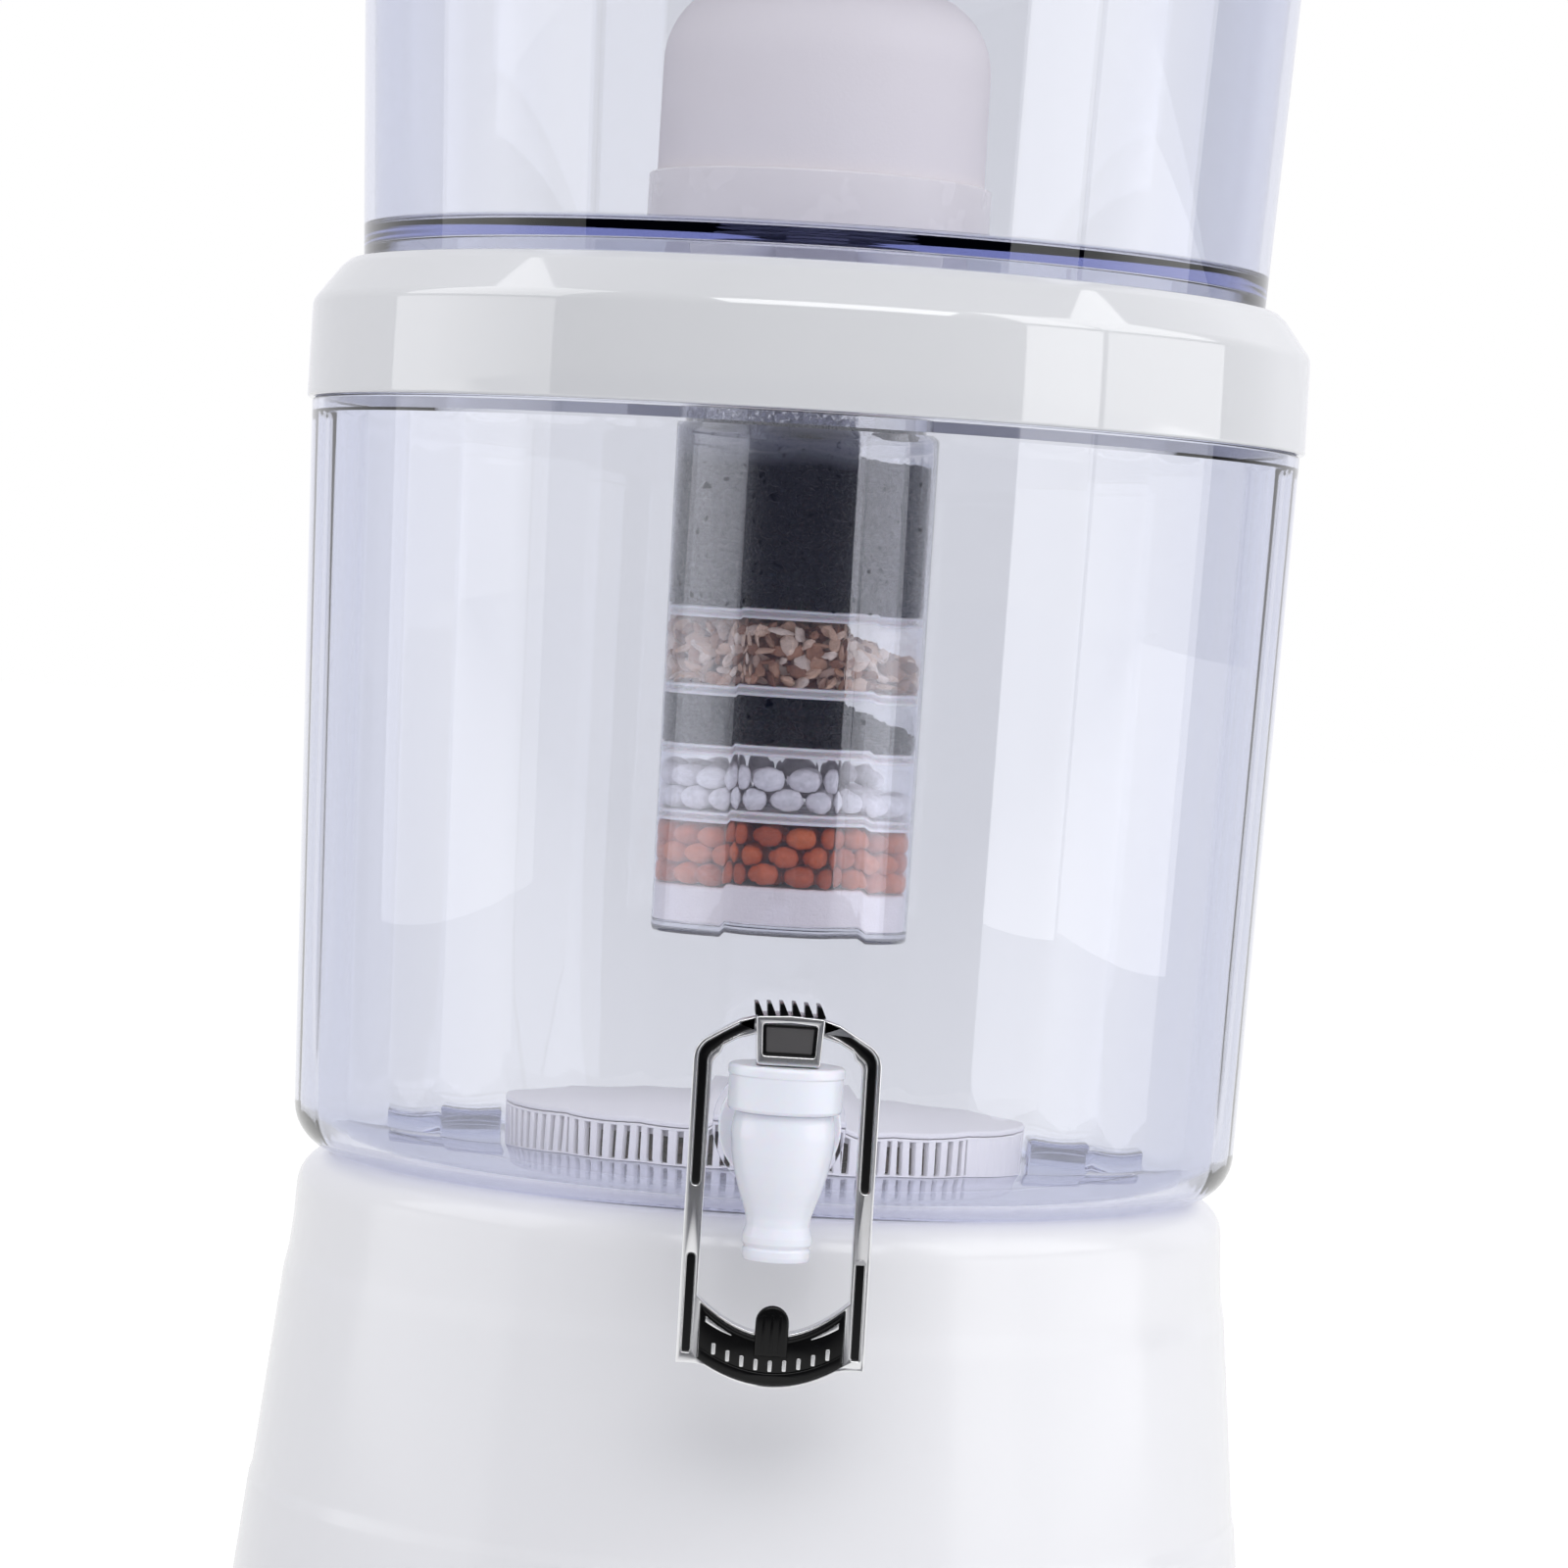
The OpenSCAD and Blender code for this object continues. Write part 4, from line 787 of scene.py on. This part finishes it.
def heap_piece(name, kind, places, size, seed, finish, body):
    """A heap of grains that stands for the CAD node of its name."""
    piece(name, grains(name, kind, places, size, seed), finish, body, name)


def layer_top(height, start=CART_R, fall=0.0):
    """A layer's surface: level, and falling by fall degrees beyond x = start."""
    slope = math.tan(math.radians(fall))
    return lambda x: height - max(0.0, x - start) * slope


red = ball_places(209.6, 3, 6.4, 4)
heap_piece("media_red_balls", "ball", red, (6.0, 6.5), 11, "red_ball", "cartridge")
white = ball_places(230.8, 2, 6.9, 5, lambda p: p.x > 12 and p.y < 12)
heap_piece("media_white_balls", "ball", white, (6.5, 7.0), 12, "white_ball", "cartridge")
# name, kind, finish, foot and surface of each layer, grains' spacing and range of lengths
LAYERS = [
    ("media_carbon_lower", "crystal", "carbon", 249.6, layer_top(262.9, 10, 19), 2.7, (2.8, 4.6)),
    ("media_stone_chips", "flake", "stone_chips", 266.6, layer_top(284.9, 8, 22), 3.4, (4.2, 6.2)),
    ("media_carbon_top", "crystal", "carbon", 288.6, layer_top(329.9), 2.7, (2.8, 4.6)),
]
for number, (name, kind, finish, low, top, spacing, size) in enumerate(LAYERS):
    places = packed_places(low, top, spacing, MEDIA_R, 20 + number)
    heap = grains(name, kind, places, size, 30 + number)
    middle = core(name, low, lambda x: top(x) - spacing, MEDIA_R - 1.3 * spacing)
    piece(name, merged(name, [heap, middle]), finish, "cartridge", name)

# the dust is a film of its own just inside the tube's wall, above the top layer
film = turned("carbon_dust", [(35.2, 329), (35.35, 329), (35.35, 355), (35.2, 355)], 128)
piece("carbon_dust", film, "carbon_dust", "cartridge")

# ---- stone case ----


def make_case():
    """The case's basket: its floor, its rim and the bars between its slots."""
    count = int(360 / math.degrees(SLOT_PITCH / CASE_R))
    pitch = 360 / count
    bar_w = 2 * math.pi * CASE_R / count - SLOT_W
    bar_low, bar_high = 1, CASE_H - 0.4
    floor = [(0, 0), (CASE_R, 0, 0.5), (CASE_R, 1.4, 0.2), (CASE_IN, 1.4), (CASE_IN, 2), (0, 2)]
    rim = [(CASE_IN, 13.6, 0.2), (CASE_R, 13.6, 0.2), (CASE_R, CASE_H, 0.3), (CASE_IN, CASE_H, 0.3)]
    parts = [turned("case_floor", floor, 240), turned("case_rim", rim, 240)]
    for i in range(count):
        ends = (CASE_IN, -bar_w / 2, bar_low), (CASE_R, bar_w / 2, bar_high)
        parts.append(moved(box_mesh("case_bar", *ends, 0.3), turn=(i + 0.5) * pitch - 90))
        # on two sides the wall is closed: a wide bar covers each slot there
        if 52 < i * pitch % 180 < 78:
            ends = (CASE_IN, -1.3, bar_low), (CASE_R, 1.3, bar_high)
            parts.append(moved(box_mesh("case_bar", *ends), turn=i * pitch - 90))
    return moved(finished(merged("case_basket", parts)), (0, 0, CASE_BASE))


piece("case_basket", make_case(), "case_white", "stone_case", "case_basket")
stones = packed_places(CASE_BASE + 2.1, layer_top(CASE_BASE + 11), 4.6, 72.4, 40)
heap_piece("case_stones", "pebble", stones, (4.6, 6.0), 41, "dark_stone", "stone_case")

# ---- tap ----

VASE = [
    (6, -31.9, 0.3), (8.7, -31.9, 0.5), (9, -30.6, 0.8), (9, -29, 0.6), (8.5, -28.4, 0.4),
    (9.3, -27.3, 0.5), (9.3, -25.6, 0.6), (8.5, -22.8, 3), (8.6, -20.5, 6), (9.7, -17, 8),
    (11.0, -13.5, 12), (12.3, -9, 12), (13.3, -4, 14), (13.8, 1, 10), (13.4, 4.8, 4),
    (12.9, 6.9, 0.3), (12.6, 6.9), (12.6, 16.1, 0.3), (9, 16.1, 0.3), (9, -9), (6, -16),
]
BARREL = [
    (5.5, 0), (6.9, 0), (6.9, 20.2), (16.5, 20.2, 0.8), (16.5, 23.2, 0.8), (8, 23.2),
    (8, 58, 0.8), (5.5, 58, 0.3),
]
vase = at_tap(turned("vase", VASE, 160))
shank = moved(turned("shank", BARREL, 96, steps=4), (0, TAP_Y + 9.3, TAP_Z), -90, "X")
tap = finished(merged("tap_body", [vase, shank]))
piece("tap_body", tap, "tap_white", "lower_tank", "tap_body")
BONNET = [
    (12.7, 7.3, 0.3), (14.6, 7.3, 0.5), (15.1, 8.1, 0.5), (15.1, 16.5, 0.3), (15.46, 16.9, 0.3),
    (15.46, 19.5, 1.1), (2.25, 19.5, 0.2), (2.25, 16.5), (12.7, 16.5),
]
bonnet = at_tap(turned("tap_bonnet", BONNET, 160))
piece("tap_bonnet", bonnet, "tap_white", "lower_tank", "tap_bonnet")

# ---- lever ----

BLOCK_LOW, BLOCK_TOP = 19.8, 33.0
LEG_OUT, LEG_IN = 24.75, 19.75
LEG_MIDDLE = (LEG_OUT + LEG_IN) / 2
LEG_END = -59.8
ARCH_TOP = 32.2
TRAY_TOP = LEG_END + 17.5
INLAY_HALF = 1.15
FOOT_STEPS = 18


def sag(x):
    """How far the foot's lower edge hangs below the legs at x."""
    return 6.5 * (1 - (x / LEG_IN) ** 2)


def arc(x, z, radius, first, last, steps=8):
    """Points along an arc, in degrees."""
    angles = [math.radians(first + (last - first) * i / steps) for i in range(steps + 1)]
    return [(x + radius * math.cos(a), z + radius * math.sin(a)) for a in angles]


def bow(x_block, z_block, x_leg, corner):
    """The arch from the block to the leg's turn, for the right side."""
    z_turn = z_block - 5.3
    rise = [(x_block, z_block), (13.2, z_block - 1.5), (17, z_turn + 1.6)]
    return rise + arc(x_leg - corner, z_turn - corner, corner, 60, 0)


def mirrored(points):
    """The left side of a right-side run, in the order that closes the loop."""
    return [(-x, z) for x, z in reversed(points)]


def low_edge(xs, up):
    """The foot's lower edge at each x, moved up."""
    return [(x, LEG_END + up - sag(x) + 1) for x in xs]


def tray_edge(inset):
    """The foot's concave upper edge from right to left, drawn in by inset."""
    half = LEG_IN + 0.3 - inset
    xs = np.linspace(half, -half, FOOT_STEPS)
    return [(x, TRAY_TOP - inset - 9 * (1 - (x / LEG_IN) ** 2)) for x in xs]


def crescent(inset):
    """The foot's field, drawn in from its edges by inset."""
    half = LEG_IN + 0.3 - inset
    return tray_edge(inset) + low_edge(np.linspace(-half, half, FOOT_STEPS), inset)


def inlay_loop_high(grow):
    """The long black inlay of the right side: along the arch and down the leg."""
    w = INLAY_HALF + grow
    z_arch = ARCH_TOP - 2.35
    outer = bow(9.7 - grow, z_arch + w, LEG_MIDDLE + w, 5.4)
    inner = bow(9.7 - grow, z_arch - w, LEG_MIDDLE - w, 4.2)
    return outer + arc(LEG_MIDDLE, -13 - grow + w, w, 0, -180, 6) + inner[::-1]


def inlay_loop_low(grow):
    """The short black inlay at the foot of the right leg."""
    left, right = LEG_MIDDLE - INLAY_HALF - grow, LEG_MIDDLE + INLAY_HALF + grow
    low, high = LEG_END + 3 - grow, -31 + grow
    return rounded([(right, low, 0.5), (right, high, 0.9), (left, high, 0.9), (left, low, 0.5)], 3)


def lever_piece(name, parts, finish, *nodes):
    """A piece that rides on the lever."""
    piece(name, at_tap(finished(merged(name, parts))), finish, "tap_lever", *nodes)


def lever_frame():
    """The chromed frame: its back, its face with grooves, and the block on the arch."""
    right = bow(7.9, ARCH_TOP, LEG_OUT, 7) + [(LEG_OUT, LEG_END), (LEG_IN + 0.2, LEG_END)]
    foot = low_edge(np.linspace(LEG_IN, -LEG_IN, FOOT_STEPS), 0)
    outer = right + foot[1:-1] + mirrored(right)
    inner = bow(7.9, ARCH_TOP - 4.7, LEG_IN, 4)
    hole = inner + tray_edge(0) + mirrored(inner)
    grooves = [inlay_loop_high(0.1), inlay_loop_low(0.1)]
    grooves += [mirrored(groove) for groove in grooves]
    low, high, edge_z = 8.25, 8.95, BLOCK_TOP - 0.5
    block = [(low, BLOCK_LOW), (high, edge_z), (0, BLOCK_TOP), (-high, edge_z), (-low, BLOCK_LOW)]
    block = rounded([(x, z, 0.8) for x, z in block], 4)
    window = [(6.9, 22.3), (7.2, 30.6), (0, 31.1), (-7.2, 30.6), (-6.9, 22.3)]
    window = rounded([(x, z, 0.7) for x, z in window], 3)
    parts = [
        plate("lever_back", [outer, hole], 5.2, 0.8, 0.4),
        plate("lever_face", [outer, hole, *grooves, crescent(1.0)], 1.6, 0.35, -2.2),
        plate("block_front", [block, window], 1.4, 0.35, -8.3),
        plate("block_web", [block], 3.4, 0.1, -6.2),
        plate("block_rear", [block], 4.4, 0.7, 6.8),
    ]
    # the block is open below between its cheeks, where the rod's head and the pin are
    slot, ridge = 2.7, BLOCK_TOP - 0.15
    for side in (1, -1):
        cheek = [(slot, BLOCK_LOW), (low, BLOCK_LOW), (high, edge_z), (slot, ridge)]
        parts.append(plate("block_cheek", [[(side * x, z) for x, z in cheek]], 10.2, 0.1))
    bridge = [(2.8, 29.2), (2.8, ridge), (-2.8, ridge), (-2.8, 29.2)]
    parts.append(plate("block_bridge", [bridge], 10.2, 0.05))
    return parts


def inlays():
    """The four inlays, each a little smaller than its groove."""
    loops = [inlay_loop_high(-0.05), inlay_loop_low(-0.05)]
    runs = [run for loop in loops for run in (loop, mirrored(loop))]
    return [plate("inlay", [run], 0.9, 0.3, -2.47) for run in runs]


def thumb_grip():
    """Six slanted teeth across the block's top."""
    parts = []
    lean = 3.0 * math.tan(math.radians(22))
    for i in range(6):
        x = -8.2 + i * 3.28
        z = BLOCK_TOP - 0.1 - 0.4 * abs(x) / 9
        high = z + 3.05
        tooth = [(x - 1.1, z, 0.1), (x + 1.1, z, 0.1)]
        tooth += [(x + 0.95 - lean, high, 0.3), (x - 0.15 - lean, high, 0.2)]
        parts.append(plate("tooth", [rounded(tooth, 3)], 14, 0.2))
    return parts


def lever_pad():
    """The black foot: a field between a raised rim and band, and the knob with three ribs."""
    upper_rim = tray_edge(1.1) + tray_edge(2.3)[::-1]
    xs = np.linspace(-18.6, 18.6, FOOT_STEPS)
    band = low_edge(xs, 1.1) + low_edge(xs[::-1], 4.0)
    knob_r = 4.4
    knob_z = TRAY_TOP - 1.2 - knob_r
    knob = arc(0, knob_z, knob_r, 0, 180, 14) + [(-knob_r, knob_z - 9), (knob_r, knob_z - 9)]
    parts = [
        plate("pad_field", [crescent(1.1)], 1.6, 0.15, -2.6),
        plate("pad_rim", [upper_rim], 1.0, 0.3, -3.5),
        plate("pad_band", [band], 1.0, 0.35, -3.5),
        plate("pad_knob", [knob], 2.2, 0.8, -3.5),
    ]
    for x in (-2.2, 0, 2.2):
        left, right, low, high = x - 0.4, x + 0.4, knob_z - 8, knob_z + 2
        rib = [(left, low), (right, low), (right, high), (left, high)]
        parts.append(plate("knob_rib", [rib], 0.5, 0.15, -4.5))
    return parts


def pad_ribs():
    """Nine short bars along the foot, and a sliver on each side of the knob."""
    parts = []
    for i in range(9):
        x = -15 + 3.75 * i
        low = LEG_END - sag(x) + 5.4
        bar = [(x - 0.55, low), (x + 0.55, low), (x + 0.55, low + 3), (x - 0.55, low + 3)]
        bar = rounded([(x, z, 0.3) for x, z in bar], 3)
        parts.append(plate("pad_rib", [bar], 0.6, 0.2, -3.6))
    for side in (1, -1):
        shares = np.linspace(0, 1, 9)
        xs = [side * (10.5 + 7 * t) for t in shares]
        high = [(x, TRAY_TOP - 2.9 - 9 * (1 - (x / LEG_IN) ** 2)) for x in xs]
        low = [(x, z - 0.3 - 1.3 * t) for (x, z), t in zip(high, shares)]
        parts.append(plate("pad_sliver", [high + low[::-1]], 0.5, 0.1, -3.3))
    return parts


badge = rounded([(6.8, 22.4, 0.6), (7.1, 30.5, 0.6), (-7.1, 30.5, 0.6), (-6.8, 22.4, 0.6)], 3)
field = rounded([(6.0, 23.2, 0.4), (6.3, 29.8, 0.4), (-6.3, 29.8, 0.4), (-6.0, 23.2, 0.4)], 3)
lever_piece("lever_frame", lever_frame(), "chrome_plate", "lever_frame")
lever_piece("lever_inlays", inlays(), "black_abs", "lever_inlays")
lever_piece("lever_badge_rim", [plate("rim", [badge, field], 0.8, 0.2, -8.35)], "black_abs")
lever_piece("lever_badge", [plate("badge", [field], 0.5, 0.1, -8.2)], "badge_grey", "lever_badge")
lever_piece("thumb_grip", thumb_grip(), "black_abs", "thumb_grip")
lever_piece("lever_pad", lever_pad(), "black_abs", "lever_pad")
lever_piece("pad_ribs", pad_ribs(), "chrome_plate", "pad_ribs")

# ---- valve spring ----

SPRING_LOW, SPRING_HIGH = -2.7, 15.85


def make_spring():
    """The valve's coil, a round wire wound about the rod."""
    turns, steps, sides, radius, wire = 6, 40, 12, 5.0, 0.6
    count = turns * steps
    share = np.arange(count + 1)[:, None] / count
    a, b = 2 * np.pi * turns * share, 2 * np.pi * np.arange(sides) / sides
    r = radius + wire * np.cos(b)
    z = SPRING_LOW + (SPRING_HIGH - SPRING_LOW) * share + wire * np.sin(b)
    points = np.stack([r * np.cos(a), r * np.sin(a), z], -1).reshape(-1, 3) * MM
    faces = [tuple(reversed(range(sides))), tuple(range(count * sides, (count + 1) * sides))]
    for k in range(0, count * sides, sides):
        for s, t in zip(range(sides), [*range(1, sides), 0]):
            faces.append((k + s, k + s + sides, k + t + sides, k + t))
    mesh = bpy.data.meshes.new("valve_spring")
    mesh.from_pydata(points, [], faces)
    return at_tap(finished(mesh))


spring = piece("valve_spring", make_spring(), "steel", "lower_tank", "tap_spring")
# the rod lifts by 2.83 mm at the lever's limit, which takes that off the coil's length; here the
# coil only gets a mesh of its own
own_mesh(spring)

# ---- CAD nodes that stay, with their finishes ----

KEPT = {
    "steel": ("lid_screw", "tap_pin"),
    "silicone": ("dome_gasket", "cartridge_gasket", "tap_gasket_outer", "tap_gasket_inner"),
    "white_abs": ("dome_nut",),
    "tap_white": ("tap_nut", "tap_rod"),
    "black_rubber": ("tap_seal",),
}
for finish, names in KEPT.items():
    for name in names:
        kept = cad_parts[name].data
        kept.materials.clear()
        kept.materials.append(MATERIALS[finish])
        kept.shade_smooth()
        kept.set_sharp_from_angle(angle=math.radians(30))

# ---- floor, light and camera ----


def seen_through(tree, path, bright, dark):
    """Colour for rays that crossed the glass: dark where bright is 0, white where it is 1 and, for
    a ray that nothing mirrored on its way, everywhere."""
    straight = add(tree, "Math", {"operation": "LESS_THAN", 1: 0.5}, _0=path["Glossy Depth"])
    pale = add(tree, "Math", {"operation": "MAXIMUM"}, _0=bright, _1=straight)
    shades = {"data_type": "RGBA", 6: linear(dark), 7: linear("#FFFFFF")}
    return add(tree, "Mix", shades, _0=pale).outputs[2]


def make_floor():
    """A plain pale floor that looks white where nothing shades it."""
    mesh = bpy.data.meshes.new("floor")
    size = 12.0
    corners = [(-size, -size, 0), (size, -size, 0), (size, size, 0), (-size, size, 0)]
    mesh.from_pydata(corners, [], [(0, 1, 2, 3)])
    material, tree = new_material("pale_floor")
    matt = add(tree, "BsdfDiffuse", {"Color": linear("#E9E9EB")})
    veil = add(tree, "BsdfDiffuse", {"Color": linear("#8E8E90")})
    glow = add(tree, "Emission", {"Color": linear("#FFFFFF"), "Strength": 0.9})
    path = add(tree, "LightPath").outputs
    place = add(tree, "SeparateXYZ", Vector=add(tree, "TexCoord").outputs["Object"]).outputs
    dusk = add(tree, "MapRange", span(-1.7, -0.5), Value=place["Y"])
    tone = seen_through(tree, path, dusk, "#151A34")
    sheen = add(tree, "Emission", Color=tone)
    either = {"_0": path["Is Glossy Ray"], "_1": path["Is Transmission Ray"]}
    mirrored_too = add(tree, "Math", {"operation": "MAXIMUM"}, **either)
    seen = add(tree, "AddShader", _0=veil, _1=glow)
    other = add(tree, "MixShader", _0=mirrored_too, _1=matt, _2=sheen)
    both = add(tree, "MixShader", _0=path["Is Camera Ray"], _1=other, _2=seen)
    add(tree, "OutputMaterial", Surface=both)
    mesh.materials.append(material)
    placed("floor", mesh)


def make_room():
    """A white studio whose front and right are darker for surfaces that mirror it."""
    world = bpy.data.worlds.new("studio")
    SCENE.world = world
    world.use_nodes = True
    tree = world.node_tree
    tree.nodes.clear()
    path = add(tree, "LightPath").outputs
    way = add(tree, "SeparateXYZ", Vector=add(tree, "TexCoord").outputs["Generated"]).outputs
    fades = []
    for share, darkest in ((-0.35, 0.13), (-0.4, 0.0)):
        lean = add(tree, "Math", {"operation": "MULTIPLY", 1: share}, _0=way["X"])
        reach = add(tree, "Math", {"operation": "ADD"}, _0=way["Y"], _1=lean)
        fades.append(add(tree, "MapRange", span(-0.1, 0.45, darkest), Value=reach))
    behind, beyond = fades
    tone = seen_through(tree, path, beyond, "#232A50")
    room = add(tree, "Background", {"Color": linear("#FBFBFF")}, Strength=behind)
    depth = add(tree, "Background", Color=tone)
    sides = add(tree, "MapRange", span(-1.0, 1.0, 0.46, 0.47), Value=way["X"])
    soft = add(tree, "Background", {"Color": linear("#F8F9FF")}, Strength=sides)
    white = add(tree, "Background", {"Color": linear("#FFFFFF")})
    glossy = add(tree, "MixShader", _0=path["Is Glossy Ray"], _1=soft, _2=room)
    through = add(tree, "MixShader", _0=path["Is Transmission Ray"], _1=glossy, _2=depth)
    both = add(tree, "MixShader", _0=path["Is Camera Ray"], _1=through, _2=white)
    add(tree, "OutputWorld", Surface=both)


def lamp(name, width, height, place, turn, strength):
    """A soft oblong light. strength is how bright it looks, with 1 for white."""
    light = bpy.data.lights.new(name, "AREA")
    light.shape = "RECTANGLE"
    light.size = width
    light.size_y = height
    light.energy = strength * width * height * math.pi
    holder = placed(name, light)
    holder.location = place
    holder.rotation_euler = turn


def upright_lamp(name, azimuth, width, low, high, strength):
    """An upright lamp that faces the axis, azimuth degrees to the right of the front."""
    a = math.radians(azimuth)
    place = (1.6 * math.sin(a), -1.6 * math.cos(a), (low + high) / 2)
    lamp(name, width, high - low, place, (math.pi / 2, 0, a), strength)


def set_camera(distance, height, azimuth, roll, focal_px, centre_px):
    """A level camera that looks at the axis. centre_px is where its axis meets the frame."""
    frame_px = 1600
    data = bpy.data.cameras.new("camera")
    data.sensor_fit = "HORIZONTAL"
    data.sensor_width = 36
    data.lens = focal_px / frame_px * data.sensor_width
    data.shift_x = (frame_px / 2 - centre_px[0]) / frame_px
    data.shift_y = (centre_px[1] - frame_px / 2) / frame_px
    data.clip_start = 0.05
    holder = placed("camera", data)
    a, t = math.radians(azimuth), math.radians(roll)
    back = Vector((math.sin(a), -math.cos(a), 0))
    level = Vector((math.cos(a), math.sin(a), 0))
    up = Vector((0, 0, 1))
    right = math.cos(t) * level + math.sin(t) * up
    above = math.cos(t) * up - math.sin(t) * level
    turn = Matrix((right, above, back)).transposed().to_4x4()
    turn.translation = back * distance + Vector((0, 0, height))
    holder.matrix_world = turn
    SCENE.camera = holder


make_floor()
make_room()
# the fill stands in front, 38 degrees up, and looks down at the middle of the tanks
a, e = math.radians(4), math.radians(38)
away = Vector((math.sin(a) * math.cos(e), -math.cos(a) * math.cos(e), math.sin(e)))
tilt = away.to_track_quat("Z", "Y").to_euler()
lamp("fill_front", 1.6, 0.9, away * 1.9 + Vector((0, 0, 0.3)), tilt, 3.0)
# each card lights the lower tank's height, and the softbox above it the rest
for name, azimuth, width, strength in (
    ("left", -82.5, 1.4, 0.85),
    ("right_a", 54.4, 0.53, 1.6),
    ("right_b", 83.5, 1.05, 1.2),
):
    upright_lamp(f"card_{name}", azimuth, width, 0.0, 0.555, strength)
    upright_lamp(f"softbox_{name}", azimuth, width, 0.8, 2.6, strength + 0.35)
set_camera(1.59, 0.289, -1.7, 3.45, 5500, (811, 627))

SCENE.view_settings.view_transform = "Standard"
SCENE.cycles.max_bounces = 28
SCENE.cycles.transmission_bounces = 28
SCENE.cycles.glossy_bounces = 8
SCENE.cycles.diffuse_bounces = 4
SCENE.cycles.transparent_max_bounces = 32
SCENE.cycles.caustics_refractive = False
SCENE.cycles.caustics_reflective = False
